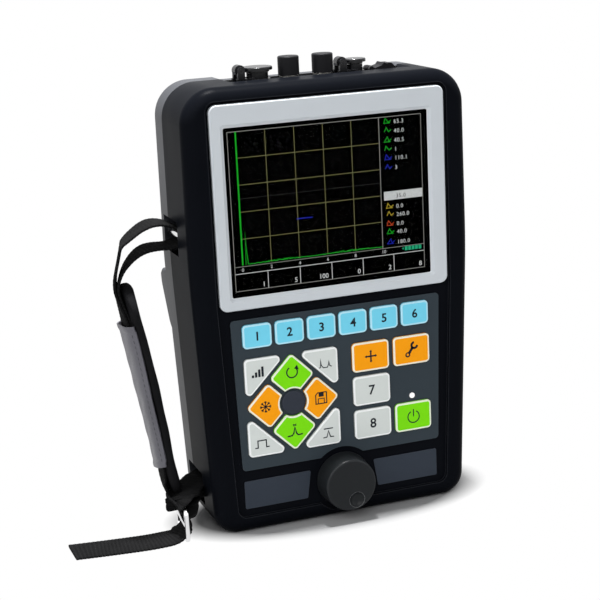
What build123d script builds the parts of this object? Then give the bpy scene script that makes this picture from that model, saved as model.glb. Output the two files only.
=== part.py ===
"""Hand-held ultrasonic flaw detector: case, screen, keypad, knob, capped sockets, rear stand and hand strap.

Millimetres. The origin is on the floor in the middle of the case's width, +X is right seen from the front,
the screen faces -Y and +Z is up. Values named y_... are planes across the case, front (-) to rear (+).
"""
import os

from build123d import *

# Case outline, seen from the front
case_width = 152.4
top_width = 151.2
base_width = 141.2
case_height = 231.8
waist_height = 0.6 * case_height
top_corner_radius = 18.0
bottom_corner_radius = 12.0
waist_blend_radius = 500.0
# Case section
case_depth = 56.0
front_of_origin = 26.0
front_edge_radius = 7.0
rear_edge_radius = 4.5
wall = 2.8
rear_shell_depth = 17.0
ridge_root = 6.0
# Clearances between pieces
moving_gap = 0.3
seat_gap = 0.2
shaft_gap = 0.05

# Sunk panel behind the raised rim
rim_height = 2.0
panel_top_width = 128.4
panel_bottom_width = 118.8
panel_top = case_height - 6.5
panel_bottom = 8.7
panel_corner_radius = 5.0

# Screen
bezel_width = 125.2
bezel_height = 0.44745 * case_height
bezel_below_panel_top = 1.6
bezel_bottom = panel_top - bezel_below_panel_top - bezel_height
panel_shoulder = bezel_bottom + 1.0
bezel_thickness = 2.4
bezel_corner_radius = 4.0
bezel_edge_radius = 0.8
window_width = 109.1
window_height = bezel_height - 18.1
window_offset_x = -1.1
window_offset_z = -2.6
window_thickness = 1.0
window_lap = 2.0
wall_lap = 1.0
bevel_side = 1.8
bevel_depth = 1.2
lcd_border = 3.0
lcd_depth = 6.0

# Keypad
overlay_top_width = 115.4
overlay_bottom_width = 111.0
overlay_top = bezel_bottom - 5.4
overlay_bottom = 34.0
keypad_height = overlay_top - overlay_bottom
overlay_thickness = 0.8
overlay_corner_radius = 2.0
key_proud = 1.1
key_travel = 1.0
key_corner_radius = 2.2
key_edge_radius = 0.5
hub_corner_radius = 0.8
key_flange = 0.7
key_flange_thickness = 1.0
plunger_radius = 2.5
plunger_length = 0.4
function_key_count = 6
function_key_width = 15.5
function_key_height = 0.155 * keypad_height
function_key_pitch = 17.46
function_key_centre = (-0.45, overlay_top - 2.85 - function_key_height / 2)
cluster_half_width = 25.4
cluster_half_height = 0.3263 * keypad_height
cluster_centre = (-26.5, overlay_bottom + 7.1 + cluster_half_height)
cluster_gap = 2.2
corner_key_middle = 7.0
diamond_half = (cluster_half_width + cluster_half_height - cluster_gap * 2 ** 0.5) / 4
block_key_width = 20.7
block_key_height = 0.6 * cluster_half_height
block_pitch_x = 23.3
block_pitch_z = cluster_half_height - block_key_height / 2
block_centre = (29.15, cluster_centre[1])
hub_radius = 6.3
hub_thickness = 1.3
light_radius = 1.5
light_above_key = 3.4
dome_radius = 3.0
dome_height = 0.4
mat_thickness = 0.8
mat_rim = 2.0
mat_trim = 0.2
board_thickness = 1.6
keypad_margin = 3.5

# Lower corner plates
plate_top = 28.0
plate_bottom = 13.0
plate_outer = 54.6
plate_inner = 20.1
plate_slant = 2.2
plate_thickness = 0.5
plate_corner_radius = 0.8

# Knob and encoder
knob_centre = (-0.5, 20.8)
knob_ring_radius = 17.7
knob_base_radius = 14.8
knob_face_radius = 13.8
knob_height = 12.6
knob_edge = 1.0
knob_floor_gap = 0.5
dimple_radius = 5.2
dimple_offset = (2.7, -8.4)
dimple_depth = 2.2
shaft_radius = 3.0
shaft_in_knob = 8.0
bushing_radius = 4.6
encoder_size = 14.0
encoder_depth = 7.0

# Socket row on the top
socket_y = 5.0
top_recess_depth = 1.8
top_recess_left = -41.0
top_recess_right = 52.0
top_recess_front = -5.0
top_recess_slope = 3.0
probe_spacing = 18.6
probe_nose_radius = 4.0
probe_nose_height = 7.6
probe_bore_wall = 0.9
probe_bore_depth = 3.5
probe_contact_radius = 1.0
probe_flange_radius = 5.2
probe_flange_height = 1.5
probe_tail_radius = 4.4
probe_tail_length = 14.0
cap_radius = 5.5
cap_height = 9.8
cap_wall = 1.2
large_socket_x = -26.3
large_collar_radius = 5.6
large_lid_radius = 7.85
small_socket_x = 27.0
small_collar_radius = 4.2
small_lid_radius = 5.95
collar_height = 4.6
collar_face_depth = 2.4
collar_wall = 1.2
collar_tail_length = 12.0
collar_foot_lip = 1.0
collar_foot_height = 1.4
contact_radius = 0.5
contact_depth = 1.0
contact_count = 4
lid_thickness = 2.6
lid_skirt = 1.6
hinge_reach = 2.0
knuckle_radius = 2.8
knuckle_width = 5.0
ear_width = 2.0
ear_half = 1.9
ear_foot = 2.4
ear_foot_height = 2.2
lid_step = 1.6
lid_arm = 1.8
hinge_bore_length = 18.0
hinge_pin_radius = 1.0
port_x = 41.8
port_length = 13.0
port_width = 9.0
port_ridge = 3.6
port_barrel_radius = 1.5
port_pin_radius = 0.8
port_inset = 2.0
port_rim = 1.0
port_depth = 3.0
port_body_length = 6.0
port_ear_radius = 1.3
port_ear_reach = 4.2
port_ear_width = 1.4
port_barrel_half = 2.2
port_foot_height = 0.6
port_flap = 1.0
port_tab = 1.8
port_tab_half = 2.5
port_pin_half = 3.0

# Side recesses for the strap, on the left
strap_y = 9.0
recess_width = 25.0
recess_depth = 9.0
upper_recess_z = 0.66904 * case_height
lower_recess_z = 19.5
recess_height = 18.0
strap_pin_radius = 2.0
strap_pin_inset = 4.0
pin_seat = 2.4
pin_end_gap = 0.4

# Strap
webbing_width = 20.0
webbing_thickness = 1.6
doubled = 1.6
grip_high_x = -101.6
grip_low_x = -88.4
pad_width = 30.0
pad_thickness = 5.0
pad_end_radius = 11.0
pad_above = 25.0
pad_below = 10.0
pad_head_lean = 2.4
sleeve_thickness = 1.4
sleeve_top = upper_recess_z - 44.0
sleeve_bottom = lower_recess_z + 11.5
buckle_wire = 1.3
buckle_width = webbing_width + 2 * (2 * buckle_wire + 2 * moving_gap)
buckle_height = 18.0
buckle_centre = (-86.0, -12.0)
buckle_bend_radius = 1.5
tail_length = 59.0
tail_lands = 13.0
tail_turn = 5.0
tail_cut = 24.0
# Bends of the two upper strands: X and Z from where they leave the upper pin
strand_leave = 3.0
outer_strand = ((-8.0, 2.6), (-20.0, 4.6), (-31.5, -4.4))
inner_strand = ((-9.0, -1.6), (-22.0, -2.6))
strand_bend_radius = 7.0
# Where each strand joins the grip: X from the head of the grip and Z above the sleeve
outer_join = ((-5.6, 21.0), (-4.6, 12.0))
inner_join = ((-3.4, 22.0), (-4.2, 12.0))
grip_join = ((-4.7, 18.0), (-4.2, 11.0))
grip_entry = 4.0
grip_bend_radius = 8.0
pad_bend_radius = 60.0
pad_bend_below = 5.0

# Rear
ridge_bottom = 0.4484 * case_height
ridge_top = ridge_bottom + 29.0
ridge_height = 8.0
ridge_edge_radius = 1.5
stand_width = 84.0
stand_length = 0.75 * ridge_bottom
stand_thickness = 2.8
stand_barrel_radius = 2.7
stand_pin_radius = 1.5
stand_ear = 6.0
stand_rib_count = 5
cover_width = 106.0
cover_height = 0.65 * (case_height - ridge_top)
cover_centre_z = (ridge_top + case_height) / 2 - 5.0
cover_rib_count = 7
battery_width = cover_width - 16.0
battery_height = cover_height - 6.0
battery_depth = 17.0

# Fixings and boards
boss_radius = 4.0
screw_radius = 1.4
screw_head_radius = 2.7
screw_head_height = 2.4
screw_length = 24.0
screw_seat_depth = 6.0
screw_hole_depth = 11.0
cover_screw_depth = 7.0
cover_head_depth = 1.6
boss_places = ((64.0, case_height - 18.0), (67.4, bezel_bottom + 2.0), (50.0, 20.0))
main_board_width = 123.0
main_board_bottom = 36.0
main_board_top = case_height - 25.0
main_board_setback = 15.2
standoff_radius = 2.1
standoff_heights = (main_board_bottom + 18.0, main_board_top - 14.0)
shield_cans = ((-40.0, -8.0, 70.0, 110.0), (6.0, 40.0, 84.0, 118.0))
can_height = 3.0
seal_size = 1.0
seal_inset = 0.9
beeper_from_edge = 13.5
beeper_place = (main_board_width / 2 - beeper_from_edge, bezel_bottom - 10.0)
beeper_radius = 6.0
beeper_height = 5.0

# Planes across the case that follow from the sizes above
y_front = -front_of_origin
y_rear = case_depth - front_of_origin
y_part = y_rear - rear_shell_depth
y_panel = y_front + rim_height
y_inside = y_panel + wall
y_bezel_front = y_panel - bezel_thickness
y_flange = y_inside + moving_gap
y_plunger = y_flange + key_flange_thickness + plunger_length
y_dome = y_plunger + key_travel + moving_gap
y_mat = y_dome + dome_height
y_keypad_board = y_mat + mat_thickness
y_main_board = y_inside + main_board_setback
y_rear_inside = y_rear - wall
top_floor = case_height - top_recess_depth
side_x = -case_width / 2
window_x = window_offset_x
window_z = bezel_bottom + bezel_height / 2 + window_offset_z


def facing(y):
    """The plane across the case at depth y: its local x is X, its local y is Z, its normal is -Y."""
    return Plane.XZ.offset(-y)


def slab(outline, y_near, y_far):
    """The outline given height from y_near, towards the front, back to y_far."""
    return extrude(facing(y_far) * outline, amount=y_far - y_near)


def rod(x, z, radius, y_near, y_far):
    """A round bar along Y."""
    return slab(Pos(x, z) * Circle(radius), y_near, y_far)


def block(x_low, x_high, y_low, y_high, z_low, z_high):
    """A box between two corners."""
    size = (x_high - x_low, y_high - y_low, z_high - z_low)
    middle = ((x_low + x_high) / 2, (y_low + y_high) / 2, (z_low + z_high) / 2)
    return Pos(*middle) * Box(*size)


def upright(x, y, radius, z_low, z_high):
    """A round bar along Z."""
    return Pos(x, y, (z_low + z_high) / 2) * Cylinder(radius, z_high - z_low)


def rounded(corners):
    """A closed outline through corners (x, y, radius), each rounded by its own radius."""
    face = Polygon(*[(x, y) for x, y, _ in corners], align=None)
    for x, y, radius in corners:
        if radius > 0:
            corner = face.vertices().sort_by_distance((x, y, 0))[0]
            face = fillet(corner, radius)
    return face


def rectangle(width, height, radius, centre=(0, 0)):
    """A rounded rectangle about a centre."""
    return Pos(*centre) * RectangleRounded(width, height, radius)


# Case

def case_outline(inset=0.0):
    """The case seen from the front: widest at the waist, a little narrower above, drawn in to the base."""
    half = case_width / 2 - inset
    half_base = base_width / 2 - inset
    half_top = top_width / 2 - inset
    top = case_height - inset
    low = max(bottom_corner_radius - inset, 1.0)
    high = max(top_corner_radius - inset, 1.0)
    return rounded([
        (-half_base, inset, low),
        (half_base, inset, low),
        (half, waist_height, waist_blend_radius),
        (half_top, top, high),
        (-half_top, top, high),
        (-half, waist_height, waist_blend_radius),
    ])


def panel_outline():
    """The sunk panel, with the round bay for the knob at its foot."""
    top_half = panel_top_width / 2
    low_half = panel_bottom_width / 2
    panel = rounded([
        (-low_half, panel_bottom, panel_corner_radius),
        (low_half, panel_bottom, panel_corner_radius),
        (top_half, panel_shoulder, 0),
        (top_half, panel_top, panel_corner_radius),
        (-top_half, panel_top, panel_corner_radius),
        (-top_half, panel_shoulder, 0),
    ])
    return panel + Pos(*knob_centre) * Circle(knob_ring_radius)


def recess_box(centre_z, grow=0.0):
    """One strap recess in the left side, or the pocket round it when grown by the wall."""
    half = recess_height / 2 + grow
    return block(
        side_x - 1, side_x + recess_depth + grow,
        strap_y - recess_width / 2 - grow, strap_y + recess_width / 2 + grow,
        centre_z - half, centre_z + half,
    )


def recess_inset(centre_z):
    """How far the left side has drawn in at this height."""
    if centre_z < waist_height:
        return (waist_height - centre_z) / waist_height * (case_width - base_width) / 2
    return (centre_z - waist_height) / (case_height - waist_height) * (case_width - top_width) / 2


def strap_recess(centre_z, grow=0.0):
    return Pos(recess_inset(centre_z), 0, 0) * recess_box(centre_z, grow)


def strap_pin_place(centre_z):
    """X of the strap pin's axis."""
    return side_x + recess_inset(centre_z) + strap_pin_inset


def top_recess():
    """The shallow step in the top that the sockets stand in; it runs out at the rear."""
    slope = top_recess_slope
    rise = top_recess_depth + 1
    spread = slope * rise / top_recess_depth
    outline = Polygon(
        (top_recess_left, top_floor), (top_recess_right, top_floor),
        (top_recess_right + spread, top_floor + rise), (top_recess_left - spread, top_floor + rise),
        align=None,
    )
    return slab(outline, top_recess_front, y_rear + ridge_height)


def boss_centres():
    return [(side * x, z) for x, z in boss_places for side in (-1, 1)]


def shell_body(y_near, y_far, edge_y, edge_radius, inset=0.0):
    """A slab of the case outline with the edges of its outer face, at edge_y, rounded."""
    body = slab(case_outline(inset), y_near, y_far)
    outer = body.faces().sort_by_distance((0, edge_y, case_height / 2))[0]
    return fillet(outer.edges(), edge_radius)


def socket_holes():
    """The holes in the top for the socket tails."""
    holes = [upright(x, socket_y, probe_tail_radius + seat_gap, top_floor - wall - 9, top_floor + 1)
             for x in probe_xs()]
    holes += [upright(x, socket_y, radius - collar_wall + seat_gap, top_floor - wall - 9, top_floor + 1)
              for x, radius in ((large_socket_x, large_collar_radius), (small_socket_x, small_collar_radius))]
    half_l = port_length / 2 - 2 + seat_gap
    half_w = port_width / 2 - 2 + seat_gap
    holes.append(block(port_x - half_l, port_x + half_l, socket_y - half_w, socket_y + half_w,
                       top_floor - wall - 9, top_floor + 1))
    return holes


def top_thickening():
    """The wall under the top recess, as thick as the rest of the case."""
    return block(top_recess_left - top_recess_slope - wall, top_recess_right + top_recess_slope + wall,
                 top_recess_front - wall, y_rear_inside, top_floor - wall, case_height)


def front_shell():
    outer = shell_body(y_front, y_part, y_front, front_edge_radius)
    cavity = shell_body(y_inside, y_part + 1, y_inside, front_edge_radius - wall, wall)
    cavity -= top_thickening()
    for height in (upper_recess_z, lower_recess_z):
        cavity -= strap_recess(height, pin_seat)
    for x, z in boss_centres():
        cavity -= rod(x, z, boss_radius, y_front, y_part + 1)
    for x, z in standoff_places():
        cavity -= rod(x, z, standoff_radius, y_front, y_main_board)
    shell = outer - cavity
    shell -= slab(panel_outline(), y_front - 1, y_panel)
    shell -= top_recess()
    shell -= [strap_recess(height) for height in (upper_recess_z, lower_recess_z)]
    shell -= [strap_pin(height, seat_gap / 4) for height in (upper_recess_z, lower_recess_z)]
    sight = rectangle(window_width - 2 * wall_lap, window_height - 2 * wall_lap, 2, (window_x, window_z))
    shell -= slab(sight, y_front, y_inside + 1)
    shell -= [slab(key_outline(key, moving_gap), y_front, y_inside + 1) for key in keys]
    shell -= rod(*knob_centre, bushing_radius + seat_gap, y_front, y_inside + 1)
    shell -= rod(*light_centre(), light_radius + seat_gap, y_front, y_inside + 1)
    shell -= [rod(x, z, screw_radius + shaft_gap, y_part - screw_hole_depth, y_part + 1)
              for x, z in boss_centres()]
    shell -= socket_holes()
    return shell


def ridge():
    """The grip ridge across the rear: steep above, running out below, flush with the case's sides."""
    low = y_rear - ridge_root
    crest = y_rear + ridge_height
    profile = rounded([
        (low, ridge_bottom - ridge_root, 0), (y_rear, ridge_bottom, 6),
        (crest, ridge_top - 9, 8), (crest, ridge_top - 3, 2.5),
        (y_rear + ridge_height / 2, ridge_top, 1.5), (low, ridge_top, 0),
    ])
    bar = extrude(Plane.YZ.offset(-case_width / 2) * profile, amount=case_width)
    bar &= slab(case_outline(), low, y_rear + ridge_height + 1)
    ends = bar.faces().filter_by(lambda f: abs(f.normal_at().X) > 0.9)
    rims = ends.edges().filter_by(lambda e: e.center().Y > y_rear + ridge_height / 4)
    return fillet(rims, ridge_edge_radius)


def rear_shell():
    outer = shell_body(y_part, y_rear, y_rear, rear_edge_radius) + ridge() + stand_ears()
    cavity = shell_body(y_part - 1, y_rear_inside, y_rear_inside, rear_edge_radius - wall, wall)
    cavity -= top_thickening()
    for height in (upper_recess_z, lower_recess_z):
        cavity -= strap_recess(height, pin_seat)
    for x, z in boss_centres():
        cavity -= rod(x, z, boss_radius, y_part - 1, y_rear)
    cavity -= cover_ledge()
    shell = outer - cavity
    shell -= top_recess()
    shell -= [strap_recess(height) for height in (upper_recess_z, lower_recess_z)]
    shell -= [strap_pin(height, seat_gap / 4) for height in (upper_recess_z, lower_recess_z)]
    shell -= seal()
    shell -= slab(cover_outline(0), y_rear - wall, y_rear + 1)
    shell -= slab(rectangle(battery_width + 2, battery_height + 2, 3, (0, cover_centre_z)), y_part, y_rear)
    for x, z in boss_centres():
        shell -= rod(x, z, screw_radius + seat_gap, y_part - 1, y_rear + 1)
        shell -= rod(x, z, screw_head_radius + seat_gap, screw_seat_y(), y_rear + 1)
    shell -= [rod(x, z, screw_radius + shaft_gap, y_rear - cover_screw_depth - 2, y_rear)
              for x, z in cover_screw_places()]
    shell -= stand_pin_bar(seat_gap / 4)
    return shell


def screw_seat_y():
    return y_rear - screw_seat_depth


def seal_loop(inset):
    """The case outline drawn in by an inset, less the strap recesses with the same wall round them."""
    face = case_outline(inset)
    for height in (upper_recess_z, lower_recess_z):
        left = side_x + recess_inset(height) - 10
        right = side_x + recess_inset(height) + recess_depth + inset
        notch = Rectangle(right - left, recess_height + 2 * inset)
        face -= Pos((left + right) / 2, height) * notch
    return face


def seal():
    """The seal cord between the shells, which passes inside the strap recesses."""
    ring = seal_loop(seal_inset) - seal_loop(seal_inset + seal_size)
    return slab(ring, y_part, y_part + seal_size)


def case_screw(x, z):
    head = rod(x, z, screw_head_radius, screw_seat_y(), screw_seat_y() + screw_head_height)
    head -= rod(x, z, screw_head_radius / 2.2, screw_seat_y() + screw_head_height / 2, y_rear)
    return head + rod(x, z, screw_radius, screw_seat_y() - screw_length + screw_head_height, screw_seat_y())


def case_screws():
    return Compound(children=[case_screw(x, z) for x, z in boss_centres()])


# Screen

def screen_bezel():
    centre = (0, bezel_bottom + bezel_height / 2)
    plate = slab(rectangle(bezel_width, bezel_height, bezel_corner_radius, centre), y_bezel_front, y_panel)
    plate = fillet(plate.faces().sort_by(Axis.Y)[0].edges(), bezel_edge_radius)
    opening = rectangle(window_width, window_height, 1.0, (window_x, window_z))
    flare = rectangle(window_width + 2 * bevel_side, window_height + 2 * bevel_side, bevel_side,
                      (window_x, window_z))
    plate -= slab(opening, y_bezel_front - 1, y_panel + 1)
    plate -= loft([facing(y_bezel_front - 0.01) * flare, facing(y_bezel_front + bevel_depth) * opening])
    pocket = rectangle(window_width + 2 * window_lap, window_height + 2 * window_lap, window_lap,
                       (window_x, window_z))
    return plate - slab(pocket, y_panel - window_thickness - seat_gap, y_panel + 1)


def display_window():
    lap = window_lap - seat_gap
    outline = rectangle(window_width + 2 * lap, window_height + 2 * lap, lap, (window_x, window_z))
    return slab(outline, y_panel - window_thickness, y_panel)


def lcd_module():
    width = window_width - 2 * (wall_lap + moving_gap)
    height = window_height - 2 * (wall_lap + moving_gap)
    glass = slab(rectangle(width, height, 1.0, (window_x, window_z)), y_panel + seat_gap, y_inside)
    frame = slab(rectangle(width + 2 * lcd_border, height + 2 * lcd_border, 1.5, (window_x, window_z)),
                 y_inside, y_inside + lcd_depth)
    return glass + frame


# Keypad

def block_key(column, row):
    x = block_centre[0] + (column - 0.5) * block_pitch_x
    z = block_centre[1] + (1 - row) * block_pitch_z
    return ("block", x, z)


keys = [("function", function_key_centre[0] + (i - (function_key_count - 1) / 2) * function_key_pitch,
         function_key_centre[1]) for i in range(function_key_count)]
keys += [("diamond", *side) for side in ((0, 1), (-1, 0), (1, 0), (0, -1))]
keys += [("corner", *side) for side in ((-1, 1), (1, 1), (-1, -1), (1, -1))]
keys += [block_key(*place) for place in ((0, 0), (1, 0), (0, 1), (0, 2), (1, 2))]
key_names = ["key_f%d" % (i + 1) for i in range(function_key_count)]
key_names += ["key_up", "key_left", "key_right", "key_down"]
key_names += ["key_gain", "key_echo", "key_pulse", "key_gate"]
key_names += ["key_plus", "key_setup", "key_upper_grey", "key_lower_grey", "key_power"]


def diamond_outline(x_sign, z_sign, grow):
    reach_x = (cluster_half_width - diamond_half) * x_sign
    reach_z = (cluster_half_height - diamond_half) * z_sign
    half = diamond_half + grow * 2 ** 0.5
    radius = key_corner_radius + grow
    shape = rounded([(-half, 0, radius), (0, -half, radius), (half, 0, radius), (0, half, radius)])
    shape = Pos(reach_x, reach_z) * shape - Circle(hub_radius + moving_gap + 0.9 - grow)
    beside_hub = shape.vertices().sort_by_distance((0, 0, 0))[:2]
    return fillet(beside_hub, hub_corner_radius + grow)


def corner_outline(x_sign, z_sign, grow):
    """A right triangle in the corner of the group, its long side along the diamonds."""
    edge = max(cluster_half_width, cluster_half_height)
    leg = cluster_half_width + cluster_half_height - edge - cluster_gap * 2 ** 0.5
    x = cluster_half_width
    z = cluster_half_height
    slant = grow * (1 + 2 ** 0.5)
    radius = key_corner_radius + grow
    shape = rounded([
        (x + grow, z + grow, radius),
        (x - leg - slant, z + grow, radius),
        (x + grow, z - leg - slant, radius),
    ])
    if x_sign < 0:
        shape = mirror(shape, Plane.YZ)
    if z_sign < 0:
        shape = mirror(shape, Plane.XZ)
    return shape


def key_outline(key, grow=0.0):
    kind, a, b = key
    radius = key_corner_radius + grow
    if kind == "function":
        return rectangle(function_key_width + 2 * grow, function_key_height + 2 * grow, radius, (a, b))
    if kind == "block":
        return rectangle(block_key_width + 2 * grow, block_key_height + 2 * grow, radius, (a, b))
    if kind == "diamond":
        return Pos(*cluster_centre) * diamond_outline(a, b, grow)
    return Pos(*cluster_centre) * corner_outline(a, b, grow)


def key_middle(key):
    kind, a, b = key
    if kind in ("function", "block"):
        return (a, b)
    if kind == "diamond":
        reach_x = cluster_half_width - diamond_half
        reach_z = cluster_half_height - diamond_half
        return (cluster_centre[0] + a * reach_x, cluster_centre[1] + b * reach_z)
    x = cluster_centre[0] + a * (cluster_half_width - corner_key_middle)
    z = cluster_centre[1] + b * (cluster_half_height - corner_key_middle)
    return (x, z)


def key_cap(key):
    """A key: rounded cap through overlay and case, a flange behind the wall and a plunger on the flange."""
    y_cap = y_panel - overlay_thickness - key_proud
    cap = slab(key_outline(key), y_cap, y_flange)
    cap = fillet(cap.faces().sort_by(Axis.Y)[0].edges(), key_edge_radius)
    flange = slab(key_outline(key, key_flange), y_flange, y_flange + key_flange_thickness)
    x, z = key_middle(key)
    return cap + flange + rod(x, z, plunger_radius, y_flange + key_flange_thickness - 0.2, y_plunger)


def light_centre():
    x = block_centre[0] + block_pitch_x / 2
    z = block_centre[1] - block_pitch_z + block_key_height / 2 + light_above_key
    return (x, z)


def keypad_overlay():
    top_half = overlay_top_width / 2
    low_half = overlay_bottom_width / 2
    radius = overlay_corner_radius
    outline = rounded([(-low_half, overlay_bottom, radius), (low_half, overlay_bottom, radius),
                       (top_half, overlay_top, radius), (-top_half, overlay_top, radius)])
    outline -= Pos(*knob_centre) * Circle(knob_ring_radius)
    sheet = slab(outline, y_panel - overlay_thickness, y_panel)
    sheet -= [slab(key_outline(key, moving_gap), y_front - 1, y_inside) for key in keys]
    return sheet - rod(*light_centre(), light_radius + seat_gap, y_front - 1, y_inside)


def nav_hub():
    """The fixed disc in the middle of the diamond keys, on the overlay."""
    y_near = y_panel - overlay_thickness - hub_thickness
    disc = rod(*cluster_centre, hub_radius, y_near, y_panel - overlay_thickness)
    return fillet(disc.faces().sort_by(Axis.Y)[0].edges(), key_edge_radius)


def status_light():
    bulb = rod(*light_centre(), light_radius, y_panel - overlay_thickness - 0.3, y_keypad_board)
    return fillet(bulb.faces().sort_by(Axis.Y)[0].edges(), 0.25)


def keypad_area(margin):
    """The rectangle behind all the keys, from the lowest key to the top row and as wide as the widest rows."""
    half_row = function_key_pitch * (function_key_count - 1) / 2 + function_key_width / 2
    cluster_left = cluster_centre[0] - cluster_half_width
    block_right = block_centre[0] + block_pitch_x / 2 + block_key_width / 2
    left = min(function_key_centre[0] - half_row, cluster_left + mat_trim)
    right = max(function_key_centre[0] + half_row, block_right - mat_trim)
    low = cluster_centre[1] - cluster_half_height
    high = function_key_centre[1] + function_key_height / 2
    size = (right - left + 2 * margin, high - low + 2 * margin)
    return rectangle(*size, 2.0, ((left + right) / 2, (low + high) / 2))


def keypad_mat():
    """Rubber mat: a rim that bears on the front wall, a thin web and one dome under each key."""
    mat = slab(keypad_area(keypad_margin), y_inside, y_keypad_board)
    mat -= slab(keypad_area(keypad_margin - mat_rim), y_inside - 1, y_mat)
    mat += [rod(*key_middle(key), dome_radius, y_dome, y_mat) for key in keys]
    return mat - rod(*light_centre(), light_radius + seat_gap, y_front, y_keypad_board)


def keypad_board():
    return slab(keypad_area(keypad_margin), y_keypad_board, y_keypad_board + board_thickness)


def corner_plate(side):
    """The bare plate beside the knob, its ends measured from the knob's axis and the inner one slanted."""
    radius = plate_corner_radius
    outline = rounded([
        (plate_inner, plate_bottom, radius), (plate_outer, plate_bottom, radius),
        (plate_outer, plate_top, radius), (plate_inner - plate_slant, plate_top, radius),
    ])
    if side < 0:
        outline = mirror(outline, Plane.YZ)
    return slab(Pos(knob_centre[0], 0) * outline, y_panel - plate_thickness, y_panel)


# Knob

def knob():
    """Turned knob with a finger dimple, hollow behind, on a hub for the shaft."""
    y_base = y_panel - knob_floor_gap
    y_face = y_base - knob_height
    profile = rounded([
        (0, 0, 0), (knob_base_radius, 0, 0.6),
        (knob_face_radius, knob_height, knob_edge), (0, knob_height, 0),
    ])
    solid = revolve(Plane.XZ * profile, Axis.Z)
    solid = Pos(knob_centre[0], y_base, knob_centre[1]) * Rot(90, 0, 0) * solid
    hollow = rod(*knob_centre, knob_face_radius - 2.4, y_base - knob_height / 2, y_base + 1)
    hollow -= rod(*knob_centre, shaft_radius + 2.2, y_base - knob_height, y_base + 1)
    ball = dimple_radius
    solid -= hollow
    solid -= Pos(knob_centre[0] + dimple_offset[0], y_face - ball + dimple_depth,
                 knob_centre[1] + dimple_offset[1]) * Sphere(ball)
    return solid - rod(*knob_centre, shaft_radius, y_base - shaft_in_knob, y_base + 1)


def encoder_shaft():
    y_base = y_panel - knob_floor_gap
    return rod(*knob_centre, shaft_radius, y_base - shaft_in_knob, y_inside + encoder_depth - 2)


def encoder():
    """Encoder body behind the wall, with the bushing that carries the shaft."""
    x, z = knob_centre
    half = encoder_size / 2
    body = block(x - half, x + half, y_inside, y_inside + encoder_depth, z - half, z + half)
    body += rod(x, z, bushing_radius, y_panel, y_inside)
    return body - rod(x, z, shaft_radius + shaft_gap, y_panel - 1, y_inside + encoder_depth - 1.5)


# Sockets on the top

def probe_xs():
    return (-probe_spacing / 2, probe_spacing / 2)


def probe_socket(x):
    """A probe socket: nose above the top, flange on it, tail through the wall."""
    nose_top = top_floor + probe_flange_height + probe_nose_height
    nose = upright(x, socket_y, probe_nose_radius, top_floor, nose_top)
    floor = nose_top - probe_bore_depth
    nose -= upright(x, socket_y, probe_nose_radius - probe_bore_wall, floor, nose_top + 1)
    nose += upright(x, socket_y, probe_contact_radius, floor - 0.5, nose_top - 1)
    flange = upright(x, socket_y, probe_flange_radius, top_floor, top_floor + probe_flange_height)
    tail = upright(x, socket_y, probe_tail_radius, top_floor - probe_tail_length, top_floor)
    return nose + flange + tail


def dust_cap(x):
    low = top_floor + probe_flange_height + moving_gap
    cap = upright(x, socket_y, cap_radius, low, low + cap_height)
    cap = fillet(cap.faces().sort_by(Axis.Z)[-1].edges(), 0.8)
    inside = low + probe_nose_height + moving_gap
    return cap - upright(x, socket_y, cap_radius - cap_wall, low - 1, inside)


def hinge_x(x, lid_radius):
    """X of a lid's hinge, to the left of the lid."""
    return x - lid_radius - hinge_reach


def hinge_z():
    return top_floor + collar_height + moving_gap + lid_thickness / 2


def hinge_ear(pivot, x, low, high):
    """One ear of a lid's hinge between two depths: a foot to the collar and a round-headed post."""
    foot = block(pivot - ear_foot, x, low, high, top_floor, top_floor + ear_foot_height)
    post = block(pivot - ear_half, pivot + ear_half, low, high, top_floor, hinge_z())
    return foot + post + slab(Pos(pivot, hinge_z()) * Circle(ear_half), low, high)


def hinge_bore(pivot, radius):
    half = hinge_bore_length / 2
    return rod(pivot, hinge_z(), radius, socket_y - half, socket_y + half)


def collar_socket(x, radius, lid_radius):
    """A round socket: collar with a sunk contact face, and a pair of ears for the lid's hinge."""
    bore = radius - collar_wall
    rim = top_floor + collar_height
    face = rim - collar_face_depth
    opening = upright(x, socket_y, bore, face, rim + 1)
    body = upright(x, socket_y, radius, top_floor, rim)
    body += upright(x, socket_y, radius + collar_foot_lip, top_floor, top_floor + collar_foot_height)
    body -= opening
    body += upright(x, socket_y, bore, top_floor - collar_tail_length, face)
    contacts = PolarLocations(bore * 0.55, contact_count)
    body -= [Pos(x, socket_y, face) * place * Cylinder(contact_radius, 2 * contact_depth)
             for place in contacts]
    pivot = hinge_x(x, lid_radius)
    for side in (-1, 1):
        near = socket_y + side * (knuckle_width / 2 + moving_gap)
        far = near + side * ear_width
        body += hinge_ear(pivot, x, min(near, far), max(near, far)) - opening
    return body - hinge_bore(pivot, hinge_pin_radius + seat_gap / 4)


def hinged_lid(x, radius, lid_radius):
    """A round lid with a stepped edge, a skirt into the collar, and its knuckle."""
    low = top_floor + collar_height + moving_gap
    skirt = radius - collar_wall - moving_gap - seat_gap
    disc = upright(x, socket_y, lid_radius, low + lid_thickness * 0.35, low + lid_thickness)
    disc = fillet(disc.faces().sort_by(Axis.Z)[-1].edges(), 0.6)
    disc += upright(x, socket_y, lid_radius - lid_step, low, low + lid_thickness * 0.5)
    disc += upright(x, socket_y, skirt, low - lid_skirt, low + 0.5)
    pivot = hinge_x(x, lid_radius)
    front = socket_y - knuckle_width / 2
    back = socket_y + knuckle_width / 2
    arm = block(pivot, x, front, back, hinge_z() - lid_arm / 2, hinge_z() + lid_arm / 2)
    barrel = slab(Pos(pivot, hinge_z()) * Circle(knuckle_radius), front, back)
    return disc + arm + barrel - hinge_bore(pivot, hinge_pin_radius + shaft_gap)


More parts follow.
